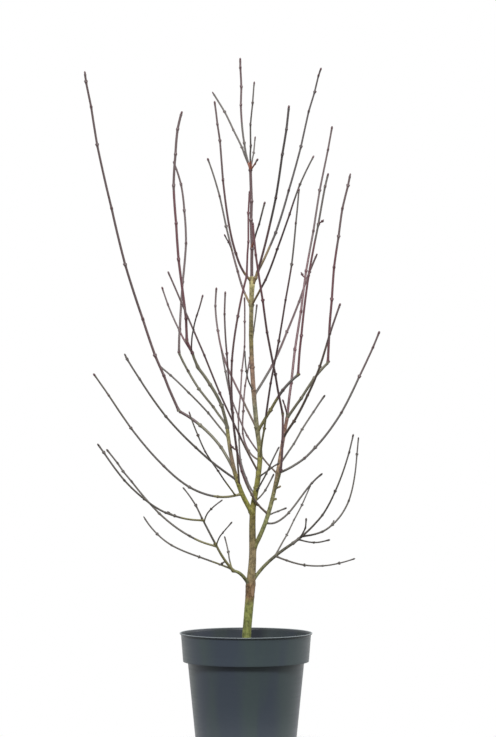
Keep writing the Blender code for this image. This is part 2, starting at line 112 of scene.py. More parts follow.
@dataclass
class Look:
    """A material in the making, with short calls for what its pattern is built from."""

    tree: bpy.types.NodeTree
    shader: bpy.types.Node
    place: bpy.types.NodeSocket

    def noise(self, width: float, height: float = 0.0, detail: float = 3.0, rough: float = 0.6) -> Source:
        """Adds noise.

        Args:
            width: The width of its grains.
            height: Their height, where it isn't the same.
            detail: How many finer layers it has.
            rough: How strong they are.

        Returns:
            The noise.
        """
        scale = [1 / (size * MM) for size in (width, width, height or width)]
        spot = add_node(self.tree, "ShaderNodeMapping", {"Vector": self.place, "Scale": scale})
        values = {"Vector": spot, "Scale": 1.0, "Detail": detail, "Roughness": rough}
        return add_node(self.tree, "ShaderNodeTexNoise", values)

    def up(self) -> Source:
        """Reads the height above the floor."""
        return add_node(self.tree, "ShaderNodeSeparateXYZ", {"Vector": self.place}).outputs["Z"]

    def remap(self, value: Source, low: float, high: float, first: float = 0.0, last: float = 1.0) -> Source:
        """Turns values from low to high into values from first to last, and holds what lies outside."""
        ends = {"From Min": low, "From Max": high, "To Min": first, "To Max": last}
        return add_node(self.tree, "ShaderNodeMapRange", {"Value": value, **ends})

    def mix(
        self, share: Source | float, first: Source | str, second: Source | str, blend: str = "MIX"
    ) -> Source:
        """Mixes two colours, each a hex value or the colour that a node gives.

        Args:
            share: How much of the second shows.
            first: The first colour.
            second: The second colour.
            blend: How the second is laid over the first.

        Returns:
            The mixed colour.
        """
        pair = {n: linear(c) if isinstance(c, str) else c for n, c in ((6, first), (7, second))}
        return add_node(
            self.tree, "ShaderNodeMix", {"data_type": "RGBA", "blend_type": blend, 0: share, **pair}
        ).outputs[2]

    def shade(self, colour: Source | str, level: Source) -> Source:
        """Makes a colour darker or lighter by a level."""
        return self.mix(1.0, colour, level, "MULTIPLY")

    def total(self, first: Source, second: Source) -> Source:
        """Adds two values."""
        return add_node(self.tree, "ShaderNodeMath", {"operation": "ADD", 0: first, 1: second})

    def wear(self, colour: Source, height: Source, strength: float, depth: float) -> None:
        """Gives the shader its colour and its bump.

        Args:
            colour: The colour.
            height: How far each point stands out.
            strength: How much of the bump shows.
            depth: How deep it is.
        """
        values = {"Height": height, "Strength": strength, "Distance": depth * MM}
        bump = add_node(self.tree, "ShaderNodeBump", values)
        self.tree.links.new(colour, self.shader.inputs["Base Color"])
        self.tree.links.new(bump.outputs[0], self.shader.inputs["Normal"])


# Finishes


@dataclass(frozen=True)
class Finish:
    """A finish: its name, and the roughness and IOR that its shader starts from."""

    name: str
    roughness: float = 0.5
    ior: float = 1.5

    def material(self) -> bpy.types.Material:
        """Makes the finish's material, once.

        Returns:
            A Principled material that the finish's own pattern has dressed.
        """
        made = bpy.data.materials.get(self.name)
        if made:
            return made
        made = bpy.data.materials.new(self.name)
        made.use_nodes = True
        shader = made.node_tree.nodes["Principled BSDF"]
        for label, value in (("Metallic", 0.0), ("Roughness", self.roughness), ("IOR", self.ior)):
            shader.inputs[label].default_value = value
        place = add_node(made.node_tree, "ShaderNodeTexCoord").outputs["Object"]
        self.dress(Look(made.node_tree, shader, place))
        made.diffuse_color = shader.inputs["Base Color"].default_value
        return made

    def dress(self, look: Look) -> None:
        """Adds the pattern: each kind of finish has its own.

        Args:
            look: The material's nodes.
        """
        raise NotImplementedError


@dataclass(frozen=True)
class MouldedPolypropylene(Finish):
    """Injection-moulded polypropylene, slate grey.

    The eye sees a satin skin: pigment that has streaked up the wall from the gate, a fine moulded
    grain, faint lines round the wall where it was drawn off its core and a little dust. Over it lies
    painted light: a painted highlight along the top of the rolled lip, a line of painted shade under
    the lip, and the collar painted a fifth lighter than the body below it.
    """

    body: str = "#343c46"
    cast: str = "#374244"
    dust: str = "#5d6365"
    # The colour of the painted highlight along the top of the lip.
    lip_highlight: str = "#828a8d"
    cast_size: tuple = (48.0, 420.0)
    line_size: tuple = (111.1, 2.6)
    grain_size: float = 1.1
    # Heights of the painted shade under the lip, the painted highlight on its top, and the foot of the
    # collar's painted light.
    lip_shade_band: tuple = (194.5, 197.0)
    rubbed_band: tuple = (199.0, 199.6)
    collar_light_band: tuple = (151.0, 153.0)
    bump: float = 0.03

    def dress(self, look: Look) -> None:
        """Adds the pigment, the dust, the painted highlight and shade, the grain and the draw lines.

        Args:
            look: The material's nodes.
        """
        cloud = look.noise(*self.cast_size, 2.0, 0.5)
        lines = look.noise(*self.line_size, 2.0, 0.55)
        grain = look.noise(self.grain_size)
        # Painted light by height: the collar a fifth lighter above its foot, painted shade under the lip, and
        # a painted highlight on the lip's top.
        collar, lip_shade, highlight_share = (
            look.remap(look.up(), low * MM, high * MM, *levels)
            for (low, high), levels in (
                (self.collar_light_band, (1.0, 1.2)), (self.lip_shade_band, (1.0, 0.62)), (self.rubbed_band, (0.0, 0.9)),
            )
        )
        colour = look.mix(look.remap(cloud, 0.42, 0.58), self.body, self.cast)
        colour = look.mix(look.remap(grain, 0.55, 0.85, 0.0, 0.12), colour, self.dust)
        # The painted shade under the lip and the painted light on the collar go into the colour here, then
        # the painted highlight on the lip.
        colour = look.mix(highlight_share, look.shade(look.shade(colour, collar), lip_shade), self.lip_highlight)
        sheen = look.remap(lines, 0.3, 0.7, self.roughness - 0.03, self.roughness + 0.05)
        look.tree.links.new(sheen.outputs[0], look.shader.inputs["Roughness"])
        look.wear(colour, look.total(grain, lines), 0.5, self.bump)


@dataclass(frozen=True)
class MapleBark(Finish):
    """Smooth young maple bark on old wood.

    The eye sees a thin skin, green where it is oldest and browner higher up, with fine lengthwise
    streaks, pale pores, and a dull waxy sheen. zones are its colours by height.
    """

    zones: tuple = ()
    streak_width: float = 1.1
    streak_length: float = 16.0
    blotch_size: float = 6.5
    pore_size: float = 2.4
    pore: str = "#a59a78"
    wander: float = 14.0
    bump: float = 0.14

    def dress(self, look: Look) -> None:
        """Adds the colour by height, the streaks, the pores, the leaf scars and the bump.

        Args:
            look: The material's nodes.
        """
        low, high = self.zones[0][0], self.zones[-1][0]
        drift = look.noise(self.wander, rough=0.5)
        height = look.total(look.up(), look.remap(drift, 0.0, 1.0, -self.wander * MM, self.wander * MM))
        ramp = add_node(look.tree, "ShaderNodeValToRGB", {"Fac": look.remap(height, low * MM, high * MM)})
        for n, (up, code) in enumerate(self.zones):
            stop = ramp.color_ramp.elements[n] if n < 2 else ramp.color_ramp.elements.new(1.0)
            stop.position = (up - low) / (high - low)
            stop.color = linear(code)
        streaks = look.noise(self.streak_width, self.streak_length, 4.0)
        scar = add_node(look.tree, "ShaderNodeAttribute", {"attribute_name": "ring"}).outputs["Fac"]
        toned = look.shade(ramp, look.remap(streaks, 0.3, 0.7, 0.62, 1.34))
        toned = look.shade(toned, look.remap(look.noise(self.blotch_size), 0.35, 0.65, 0.6, 1.4))
        toned = look.shade(toned, look.remap(scar, 0.0, 1.0, 1.0, 0.55))
        cells = {"Scale": 1 / (self.pore_size * MM), "Vector": look.place}
        dot = look.remap(add_node(look.tree, "ShaderNodeTexVoronoi", cells), 0.16, 0.26, 0.55, 0.0)
        look.wear(look.mix(dot, toned, self.pore), look.total(streaks, dot), 0.7, self.bump)
        look.shader.inputs["Specular IOR Level"].default_value = 0.3


@dataclass(frozen=True)
class ShootBark(Finish):
    """The skin of a young shoot, or of a bud.

    The eye sees one plain tint with a waxy sheen, mottled by pores a fraction of a millimetre wide.
    They are drawn at 0.9 mm, coarser than life, so that they show at all.
    """

    tint: str = "#5a4a48"
    mottle: float = 0.24
    mottle_size: float = 0.9
    bump: float = 0.05

    def dress(self, look: Look) -> None:
        """Adds the mottle and its bump.

        Args:
            look: The material's nodes.
        """
        speckle = look.noise(self.mottle_size)
        level = look.remap(speckle, 0.3, 0.7, 1 - self.mottle, 1 + self.mottle)
        look.wear(look.shade(self.tint, level), speckle, 0.6, self.bump)


@dataclass(frozen=True)
class CutWood(Finish):
    """Bare wood where a limb was pruned off or the bark has split: pale, dry and matt, ringed by growth."""

    fresh: str = "#a1876a"
    weathered: str = "#6f5541"
    ring: float = 0.8
    bump: float = 0.12

    def dress(self, look: Look) -> None:
        """Adds the uneven weathering and its bump.

        Args:
            look: The material's nodes.
        """
        fibre = look.noise(self.ring, 0.0, 4.0, 0.65)
        look.wear(look.mix(look.remap(fibre, 0.35, 0.65), self.fresh, self.weathered), fibre, 0.8, self.bump)


@dataclass(frozen=True)
class Mulch(Finish):
    """Composted bark and peat: dark, dry on top, dead matt and crumbly."""

    dark: str = "#241a13"
    light: str = "#4a3424"
    crumb: float = 3.0
    bump: float = 0.6

    def dress(self, look: Look) -> None:
        """Adds the crumbs' colours and bump.

        Args:
            look: The material's nodes.
        """
        crumbs = look.noise(self.crumb, 0.0, 5.0, 0.7)
        look.wear(look.mix(look.remap(crumbs, 0.35, 0.7), self.dark, self.light), crumbs, 0.9, self.bump)


@dataclass(frozen=True)
class StudioFloor(Finish):
    """Matt white card, plain, as on a product table."""

    shade: str = "#e6e6e5"
    solid_to: float = 0.1
    gone_by: float = 0.27

    def dress(self, look: Look) -> None:
        """Sets the plain colour, which melts into the white surround away from the middle.

        Args:
            look: The material's nodes.
        """
        look.shader.inputs["Base Color"].default_value = linear(self.shade)
        away = add_node(look.tree, "ShaderNodeVectorMath", {"operation": "LENGTH", 0: look.place})
        left = look.remap(away.outputs["Value"], self.solid_to, self.gone_by, 1.0, 0.0)
        left.interpolation_type = "SMOOTHSTEP"
        look.tree.links.new(left.outputs[0], look.shader.inputs["Alpha"])


TRUNK_ZONES = (
    (165, "#666a3c"), (190, "#707842"), (235, "#777e43"), (252, "#7a7a48"), (262, "#6e563b"),
    (282, "#775f43"), (295, "#7b6f50"), (340, "#7e7053"), (374, "#6c623f"), (400, "#706839"),
    (440, "#7b783c"), (500, "#7f7c45"), (530, "#7d7859"), (580, "#7a7862"), (615, "#846b5b"),
    (655, "#82695a"), (690, "#7c724b"), (750, "#7f7757"), (780, "#a59c6d"), (806, "#a69c6e"),
)
LEFT_BOUGH_ZONES = (
    (395, "#7a743f"), (425, "#8a8944"), (455, "#8c884c"), (480, "#86765a"), (498, "#816f5f"),
    (518, "#8b8062"), (538, "#8c8659"), (558, "#8a8656"),
)
RIGHT_BOUGH_ZONES = (
    (340, "#716c41"), (380, "#7c8053"), (430, "#83805a"), (465, "#8f7d62"), (500, "#947a66"),
    (535, "#957366"), (568, "#8b6b60"),
)
LOW_BOUGH_ZONES = (
    (275, "#615d4e"), (290, "#6f7150"), (303, "#787a52"), (325, "#575542"), (356, "#504e46"),
)

# Moulded polypropylene: as new outside, and a darker, rougher copy inside, with painted shade for the inside
# of the pot
SLATE = MouldedPolypropylene("slate_polypropylene", 0.39, 1.49)
SHADED_INSIDE = MouldedPolypropylene("splashed_polypropylene", 0.5, 1.49, body="#29303a", cast="#2a3335")
# Maple bark, greenest where it is oldest
TRUNK_BARK = MapleBark("weathered_trunk_bark", 0.55, zones=TRUNK_ZONES, streak_width=1.5)
LEFT_BARK = MapleBark("smooth_left_bough_bark", 0.52, zones=LEFT_BOUGH_ZONES)
RIGHT_BARK = MapleBark("smooth_right_bough_bark", 0.52, zones=RIGHT_BOUGH_ZONES)
LOW_BARK = MapleBark("smooth_low_bough_bark", 0.55, zones=LOW_BOUGH_ZONES)
# Maple wood, laid bare by a graft and by pruning
CALLUS = CutWood("graft_callus", 0.8)
PRUNED = CutWood("pruned_wood", 0.85, fresh="#8f8468", weathered="#5d5038")
# The skin of young maple shoots, in the tint of each shoot's age and light, and that of their buds
OLIVE, BROWN, ROSE, UMBER, SAGE, TAN, GREY, DRIFT, DUSK, MAROON, PLUM, WINE, CORAL = (
    ShootBark(name + "_shoot", roughness, tint=tint)
    for name, roughness, tint in (
        ("olive", 0.5, "#716c48"), ("brown", 0.5, "#61544a"), ("rosewood", 0.45, "#5f5050"),
        ("umber", 0.45, "#4f4040"), ("sage", 0.52, "#6e6b5a"), ("tan", 0.5, "#7d6b4b"),
        ("grey", 0.55, "#5a554e"), ("driftwood", 0.55, "#5c5753"), ("dusk", 0.5, "#453f3e"),
        ("maroon", 0.42, "#604a4b"), ("plum", 0.42, "#5a4748"), ("wine", 0.42, "#644448"),
        ("coral", 0.42, "#86513f"),
    )
)
RED_BUD = ShootBark("red_bud_scale", 0.38, tint="#523539", mottle=0.3)
DARK_BUD = ShootBark("dark_bud_scale", 0.42, tint="#443a36", mottle=0.3)
# Composted bark: the peaty fill, and loose chips of three ages
PEAT = Mulch("peat_and_fine_bark", 0.95)
CHIPS = tuple(
    Mulch(name + "_bark_chip", 0.85, dark=dark, light=light, crumb=1.6, bump=0.25)
    for name, dark, light in (
        ("dark", "#2c1d14", "#4b3220"), ("rust", "#4a2c1b", "#6f4730"), ("pale", "#5b4632", "#80684c"),
    )
)
# Painted card
FLOOR_CARD = StudioFloor("matt_white_card", 0.85)


# Tables of the tree


@dataclass(frozen=True)
class Limb:
    """A tapering limb that bends from its foot to its tip in one smooth arc.

    foot is (across, up) of the place on the carrier's middle line that it springs from, tip is
    (across, deep, up). lean is the angle from upright at the foot and at the tip, to the right where
    positive. girth is the diameter at the foot and at the tip. pull says how far the lean at each end
    holds along the limb. nodes are the shares of its run where its buds stand, where they don't follow
    the usual spacing. bands are the shares where old bark gives way to young, and young to the tip's.
    """

    name: str
    on: str
    foot: tuple
    tip: tuple
    lean: tuple
    girth: tuple
    pull: tuple = (1, 1)
    nodes: tuple = ()
    bands: tuple = (0.16, 0.72)


@dataclass(frozen=True)
class Mass:
    """A mass of twigs: its name, its slot, its three barks and its limbs."""

    name: str
    slot: Slot
    barks: tuple
    limbs: tuple


# The trunk's stations: height, sway to the right and to the back, and diameter
TRUNK = (
    (168.3, 0, 0, 23), (173, 0, 0, 19), (181, 0.2, 0, 16.2), (200, 1.4, 0.5, 15.2), (255, 6, 1.5, 15.3),
    (289, 8.5, 2, 15), (323, 11, 2, 12.7), (391, 11, 0.5, 10.8), (412, 12, 0, 9.9),
    (452, 18.7, -1, 9.1), (500, 23.8, -2, 8.4), (553, 18, -1, 7.9), (630, 11.6, 1.5, 7.8),
    (697, 8.8, 2, 7.4), (765, 9.4, 1, 7.8), (792, 10, 0, 8.8), (805, 9.6, 0, 7.6),
)
TRUNK_NODES = (446, 502, 549, 612, 651, 707, 757)
GREYS = (GREY, GREY, DRIFT)

BOUGHS = (
    Limb("bough_left", "trunk", (11, 403), (-32, -25, 551), (-34, -6), (9, 6)),
    Limb("bough_right", "trunk", (11, 341), (70, -5, 565), (31, 12), (8, 5.9)),
    Limb("bough_low_left", "trunk", (8, 279), (-23, -10, 305), (-38, -96), (7, 5)),
    Limb("bough_low_right", "trunk", (8, 281), (81, 10, 352), (27, 57), (6.6, 4.8)),
)
STUBS = (
    Limb("stub_trunk", "trunk", (13, 418), (27, -4, 416), (92, 98), (3.2, 2.6)),
    Limb("stub_bough_low", "bough_right", (43, 424), (56, 3, 430), (62, 66), (3, 2.5)),
    Limb("stub_bough_high", "bough_right", (49, 443), (63, -7, 452), (56, 60), (2.8, 2.3)),
)
MASSES = (
    Mass("leader", Slot.CORAL, (CORAL, DRIFT, PLUM), (
        Limb("leader", "trunk", (10, 798), (8.5, 10, 993), (0, 0), (5.4, 5),
             nodes=(0.28, 0.53, 0.695, 0.97), bands=(0, 0)),
        Limb("leader_spire", "leader", (8.5, 993), (-10, 25, 1180), (-20, -4), (3.5, 3.5),
             nodes=(0.24, 0.58, 0.74, 0.91), bands=(0.06, 0.42)),
        Limb("leader_right", "leader", (8.5, 993), (14, -50, 1133), (-2, 6), (3.2, 2.5), bands=(0.08, 1)),
        Limb("leader_left", "leader", (8.5, 991), (-59, 120, 1130), (-21, -32), (3.5, 3.1),
             bands=(0.06, 1)),
        Limb("leader_back", "leader", (8.5, 993), (16, 55, 1048), (11, 8), (2.9, 2.4), bands=(0.1, 1)),
        Limb("leader_spur", "leader", (8.5, 993.5), (21, -12, 1005), (50, 46), (3, 2.6), bands=(0.6, 1)),
        Limb("leader_low", "leader", (11, 855), (32, -58, 930), (17, 16), (3.3, 3.2), bands=(0.2, 1)),
    )),
    Mass("top_left", Slot.MAROON, (TAN, MAROON, ROSE), (
        Limb("top_left", "trunk", (10, 797), (-53, -75, 1098), (-52, -10), (4.4, 3.2), (0.6, 1),
             nodes=(0.24, 0.62, 0.8, 0.88), bands=(0.1, 0.62)),
    )),
    Mass("top_right", Slot.MAROON, (TAN, MAROON, DUSK), (
        Limb("top_right", "trunk", (10, 790), (21, -6, 816), (38, 30), (5, 4.7), bands=(0.8, 1)),
        Limb("top_right_front", "top_right", (20, 814), (72, -98, 1089), (17, 7), (4, 3.8),
             nodes=(0.45, 0.71, 0.86), bands=(0, 0.3)),
        Limb("top_right_tall", "top_right", (21, 816), (129, 45, 1165), (28, 17), (4.2, 2.9),
             nodes=(0.2, 0.41, 0.62, 0.79, 0.88, 0.96), bands=(0.14, 0.14)),
    )),
    Mass("whorl_left", Slot.MAROON, (TAN, PLUM, DRIFT), (
        Limb("whorl_left", "trunk", (9, 756), (-66.5, 60, 1011), (-35, -21), (4.2, 2.9), (0.6, 1),
             nodes=(0.3, 0.58, 0.76), bands=(0.12, 0.5)),
        Limb("whorl_left_spur", "whorl_left", (-26, 850), (-37, 8, 878), (-20, -22), (2.6, 2.3)),
    )),
    Mass("whorl_right", Slot.MAROON, (TAN, PLUM, DRIFT), (
        Limb("whorl_right", "trunk", (9, 756), (112, -190, 999), (31, 28), (3.9, 2.7),
             nodes=(0.16, 0.37, 0.62, 0.82), bands=(0.1, 0.72)),
    )),
    Mass("inner_right", Slot.MAROON, (DRIFT, PLUM, PLUM), (
        Limb("inner_right", "trunk", (14, 603), (125, 175, 851), (34, 23), (4.6, 3.4),
             nodes=(0.2, 0.45, 0.68, 0.88), bands=(0.16, 0.5)),
    )),
    Mass("inner_spur", Slot.GREY, GREYS, (
        Limb("inner_spur", "trunk", (13, 610), (-2, -40, 680), (-32, -2), (2.7, 2.4)),
    )),
    Mass("arm_right", Slot.OLIVE, (OLIVE, WINE, DRIFT), (
        Limb("arm_right", "trunk", (19, 542), (92, -30, 641), (33, 54), (5.6, 4.6), bands=(0.55, 0.55)),
        Limb("arm_right_shoot", "arm_right", (91, 640), (139, -42, 979), (3, 12), (4.2, 3.4),
             nodes=(0.19, 0.49, 0.74, 0.93), bands=(0, 0.66)),
        Limb("arm_right_bud", "arm_right_shoot", (124, 893), (130, -45, 902), (60, 10), (2.1, 1.8),
             nodes=(0.5,), bands=(0, 1)),
    )),
    Mass("inner_left", Slot.MAROON, (BROWN, MAROON, ROSE), (
        Limb("inner_left", "trunk", (18, 545), (-52, 195, 792), (-26, 4), (3.8, 3.3),
             nodes=(0.22, 0.5, 0.72, 0.89)),
    )),
    Mass("front_right", Slot.OLIVE, (OLIVE, PLUM, DRIFT), (
        Limb("front_right", "trunk", (24, 494), (87, -199, 945), (6, 3), (3.9, 2.8),
             nodes=(0.11, 0.28, 0.44, 0.6, 0.73, 0.88)),
    )),
    Mass("back_middle", Slot.MAROON, (BROWN, MAROON, DRIFT), (
        Limb("back_middle", "trunk", (24, 493), (19, 160, 762), (-72, 4), (3.2, 2.8), (0.6, 1)),
    )),
    Mass("mid_left", Slot.MAROON, (BROWN, PLUM, ROSE), (
        Limb("mid_left", "trunk", (20, 472), (-131, -85, 812), (-29, -25), (3.6, 3.1),
             nodes=(0.2, 0.4, 0.59, 0.84)),
    )),
    Mass("mid_right", Slot.GREY, GREYS, (
        Limb("mid_right", "trunk", (20, 464), (57, -30, 489), (58, 68), (2.9, 2.5)),
    )),
    Mass("low_fork", Slot.GREY, GREYS, (
        Limb("low_fork", "trunk", (17, 440), (56, -65, 518), (40, 29), (3, 2.6), (0.4, 1)),
    )),
    Mass("back_left", Slot.MAROON, (DRIFT, MAROON, DRIFT), (
        Limb("back_left", "trunk", (16, 434), (-3, 204, 775), (-38, -4), (3, 2.8), (0.7, 1),
             bands=(0.4, 1)),
    )),
    Mass("hook", Slot.GREY, GREYS, (
        Limb("hook", "trunk", (13, 424), (48, 20, 470), (82, 27), (2.8, 2.8), (0.6, 1)),
    )),
    Mass("reach_left", Slot.OLIVE, (OLIVE, DRIFT, GREY), (
        Limb("reach_left", "bough_left", (-4, 438), (-258, -40, 641), (-110, -35), (4.3, 3),
             nodes=(0.14, 0.3, 0.47, 0.69, 0.87)),
        Limb("reach_left_front", "reach_left", (-18, 434), (-95, -118, 578), (-35, -17), (2.9, 2.5),
             nodes=(0.3, 0.56, 0.75)),
    )),
    Mass("wing_left", Slot.GREY, (DRIFT, GREY, DRIFT), (
        Limb("wing_left", "bough_left", (-14, 460), (-203, -105, 674), (-56, -29), (4, 3.1),
             nodes=(0.31, 0.56, 0.83, 0.96)),
    )),
    Mass("tall_left", Slot.OLIVE, (SAGE, PLUM, UMBER), (
        Limb("tall_left_arm", "bough_left", (-19.5, 471), (-118.5, 20, 578), (-23, -66), (5.2, 5),
             bands=(0.72, 1)),
        Limb("tall_left", "tall_left_arm", (-118, 577), (-276, 35, 1158), (-25, -9), (4.8, 3.8),
             nodes=(0.11, 0.17, 0.28, 0.44, 0.605, 0.787, 0.897, 0.968), bands=(0, 0.3)),
    )),
    Mass("behind_left", Slot.GREY, GREYS, (
        Limb("behind_left", "bough_left", (-30.5, 531), (-150, 78, 654), (-39, -50), (3.3, 3.1),
             nodes=(0.3, 0.6, 0.86)),
    )),
    Mass("crown_left", Slot.MAROON, (SAGE, WINE, ROSE), (
        Limb("crown_left", "bough_left", (-32, 547), (-84, -45, 654), (-8, -41), (5.6, 5.2), bands=(1, 1)),
        Limb("crown_left_arm", "crown_left", (-32.5, 552), (-116.5, 40, 680), (-36, -21), (4.2, 4.1),
             bands=(1, 1)),
        Limb("crown_left_back", "crown_left_arm", (-116, 679), (-126, 100, 1008), (-1, -22), (4.2, 3.4),
             nodes=(0.12, 0.36, 0.56, 0.73, 0.87), bands=(0, 0)),
        Limb("crown_left_neck", "crown_left", (-83.5, 653), (-102, -56, 700), (-22, -24), (5, 4.8),
             nodes=(0.5,), bands=(0.45, 1)),
        Limb("crown_left_tall", "crown_left_neck", (-101.5, 699), (-107, -75, 1081), (2, 16), (4.6, 4.2),
             (0.5, 1), nodes=(0.15, 0.42, 0.56, 0.7, 0.82, 0.92), bands=(0, 0.68)),
        Limb("crown_left_front", "crown_left_neck", (-93.5, 678), (-71, -170, 771), (2, 12), (2.7, 2.7),
             bands=(0, 0.2)),
        Limb("crown_left_low", "crown_left_neck", (-93, 676), (-143, -12, 788), (-36, -20), (3.6, 2.7),
             nodes=(0.33, 0.74), bands=(0, 0.3)),
    )),
    Mass("strand_left", Slot.MAROON, (BROWN, PLUM, ROSE), (
        Limb("strand_left", "bough_left", (-9, 449), (-34, -150, 777), (-3, 2.5), (3.4, 2.9),
             nodes=(0.18, 0.4, 0.69, 0.89)),
    )),
    Mass("strand_right", Slot.MAROON, (BROWN, MAROON, WINE), (
        Limb("strand_foot", "bough_right", (37, 402), (-17, -28, 519), (-54, -12), (3.8, 3.6),
             bands=(0.5, 1)),
        Limb("strand_curl", "strand_foot", (-16, 511), (-27, -34, 523), (-75, -10), (2.5, 2.2),
             nodes=(0.5,), bands=(0, 1)),
        Limb("strand_right", "strand_foot", (-17, 517), (2.5, -92, 808), (-9, 16), (3.7, 3.6),
             nodes=(0.2, 0.5, 0.75), bands=(0, 0.8)),
        Limb("strand_right_end", "strand_right", (2.5, 807), (6, -105, 946), (2, 2), (3.5, 3),
             nodes=(0.4, 0.73), bands=(0, 0)),
    )),
    Mass("scoop_right", Slot.GREY, GREYS, (
        Limb("scoop_right", "bough_right", (33, 387), (132, 60, 469), (112, 54), (3.5, 3.3), (0.8, 1),
             nodes=(0.4, 0.83)),
    )),
    Mass("low_spur", Slot.GREY, GREYS, (
        Limb("low_spur", "bough_right", (38.5, 399), (70, 35, 410.5), (72, 72), (2.8, 2.7)),
    )),
    Mass("sway_right", Slot.OLIVE, (OLIVE, MAROON, WINE), (
        Limb("sway_foot", "bough_right", (46.5, 438), (62, -40, 577), (27, -2), (3.9, 3.9), (0.7, 1),
             bands=(0.3, 1)),
        Limb("sway_right", "sway_foot", (62, 575), (11, -185, 890), (-12, -6), (4, 3.7),
             nodes=(0.2, 0.43, 0.6, 0.84), bands=(0, 0.55)),
    )),
    Mass("back_right", Slot.MAROON, (BROWN, PLUM, DRIFT), (
        Limb("back_right", "bough_right", (53, 470), (-43, 105, 684), (-47, -8), (3.2, 2.8)),
    )),
    Mass("reach_right", Slot.OLIVE, (GREY, DRIFT, ROSE), (
        Limb("reach_right", "bough_right", (54, 471), (228, 18, 713), (72, 23), (4.2, 3.4), (0.9, 1),
             nodes=(0.19, 0.28, 0.52, 0.73, 0.9)),
    )),
    Mass("behind_right", Slot.GREY, GREYS, (
        Limb("behind_right", "bough_right", (55, 484), (138, 150, 603), (37, 36), (3.4, 3.2),
             nodes=(0.26, 0.5, 0.79)),
    )),
    Mass("wing_right", Slot.OLIVE, (BROWN, BROWN, ROSE), (
        Limb("wing_right", "bough_right", (63, 534), (156, -165, 757), (34, 19), (4.6, 3.3),
             nodes=(0.11, 0.32, 0.55, 0.8)),
    )),
    Mass("crown_right", Slot.MAROON, (SAGE, WINE, ROSE), (
        Limb("crown_right", "bough_right", (70, 561), (150, 130, 1071), (6.5, 11), (4.9, 3.3),
             nodes=(0.12, 0.23, 0.36, 0.5, 0.64, 0.78, 0.92), bands=(0, 0.56)),
        Limb("crown_right_hook", "crown_right", (102, 807), (96, 88, 817), (-95, 25), (2.2, 1.8),
             nodes=(0.5,), bands=(0, 1)),
        Limb("crown_right_arm", "crown_right", (70.5, 565), (142, -35, 662), (37, 47), (4.9, 4.4),
             bands=(1, 1)),
        Limb("crown_right_shoot", "crown_right_arm", (141, 661), (176, -55, 978), (2, 14), (4.5, 3.7),
             nodes=(0.33, 0.5, 0.66, 0.81, 0.93), bands=(0, 0.6)),
        Limb("crown_right_spur", "crown_right", (71, 570), (62, -16, 597), (-16, -16), (2.7, 2.4)),
    )),
    Mass("low_left", Slot.GREY, (OLIVE, GREY, DRIFT), (
        Limb("low_left", "bough_low_left", (-21, 305), (-107, -45, 449), (-42, -41), (5, 2.3),
             nodes=(0.33, 0.63, 0.77), bands=(0.35, 0.72)),
        Limb("low_left_long", "low_left", (-26, 307), (-178, 110, 393), (-70, -30), (3.3, 2.8),
             nodes=(0.3, 0.6, 0.79)),
        Limb("low_left_reach", "low_left", (-50, 348), (-238, 10, 512), (-79.5, -38), (3.7, 2.9),
             nodes=(0.2, 0.45, 0.73, 0.81, 0.88)),
        Limb("low_left_front", "low_left", (-72, 393), (-246, -150, 525), (-88.5, -34), (3.5, 3.1),
             nodes=(0.21, 0.28, 0.48, 0.68, 0.92)),
        Limb("low_left_tuft", "low_left", (-70, 390), (-39, -78, 429), (14, 55), (2.6, 2.3)),
        Limb("low_left_inner", "low_left", (-49, 350), (-23, -72, 392), (15, 40), (2.5, 2.2)),
        Limb("low_left_upright", "low_left", (-25, 307), (-37, 25, 363), (-18, -16), (2.8, 2.5)),
        Limb("low_left_bit", "low_left", (-35, 321), (-47, -18, 315), (-95, -115), (2.4, 2), nodes=(0.5,)),
    )),
    Mass("low_right", Slot.GREY, GREYS, (
        Limb("low_right", "bough_low_right", (78, 352), (99, 16, 366), (57, 57), (4.8, 4.3)),
        Limb("low_right_tall", "low_right", (98, 365), (181, -55, 539), (50, 14), (3.6, 2.7),
             nodes=(0.25, 0.49, 0.84)),
        Limb("low_right_reach", "low_right", (98, 365), (193, 50, 533), (88, 3), (3.6, 2.4), (1.25, 1.25),
             nodes=(0.16, 0.27, 0.52, 0.87)),
        Limb("low_right_flat", "low_right", (88, 359), (145, 45, 356), (108, 74), (2.9, 2.5), (1.2, 1.2),
             nodes=(0.46,)),
        Limb("low_right_spur", "low_right", (92, 361), (102, -22, 396), (30, 5), (2.9, 2.6)),
    )),
    Mass("low_reach", Slot.GREY, GREYS, (
        Limb("low_reach", "bough_low_right", (50, 330), (184, -65, 330), (113, 70), (3.3, 2.4),
             nodes=(0.13, 0.36, 0.59, 0.8)),
    )),
    Mass("low_upright", Slot.GREY, GREYS, (
        Limb("low_upright", "bough_low_right", (49, 329), (113, 150, 446), (31, 24), (3, 2.3)),
    )),
)


# Shapes


def hermite(
    t: np.ndarray, start: np.ndarray, leaving: np.ndarray, end: np.ndarray, arriving: np.ndarray
) -> np.ndarray:
    """Reads the smooth curve that has these ends and slopes.

    Args:
        t: The shares of the way along, from 0 to 1.
        start: Where it starts.
        leaving: Its slope there.
        end: Where it ends.
        arriving: Its slope there.

    Returns:
        The places at those shares.
    """
    return (
        (2 * t**3 - 3 * t**2 + 1) * start + (t**3 - 2 * t**2 + t) * leaving
        + (3 * t**2 - 2 * t**3) * end + (t**3 - t**2) * arriving
    )


def smooth_line(heights: np.ndarray, values: np.ndarray, at: np.ndarray) -> np.ndarray:
    """Reads a smooth line through the values that stand at the given heights.

    Args:
        heights: Where the values stand, rising.
        values: One value for each height.
        at: The heights to read at.

    Returns:
        The values there.
    """
    slopes = np.gradient(values, heights)
    k = np.clip(np.searchsorted(heights, at) - 1, 0, len(heights) - 2)
    span = heights[k + 1] - heights[k]
    return hermite((at - heights[k]) / span, values[k], span * slopes[k], values[k + 1], span * slopes[k + 1])


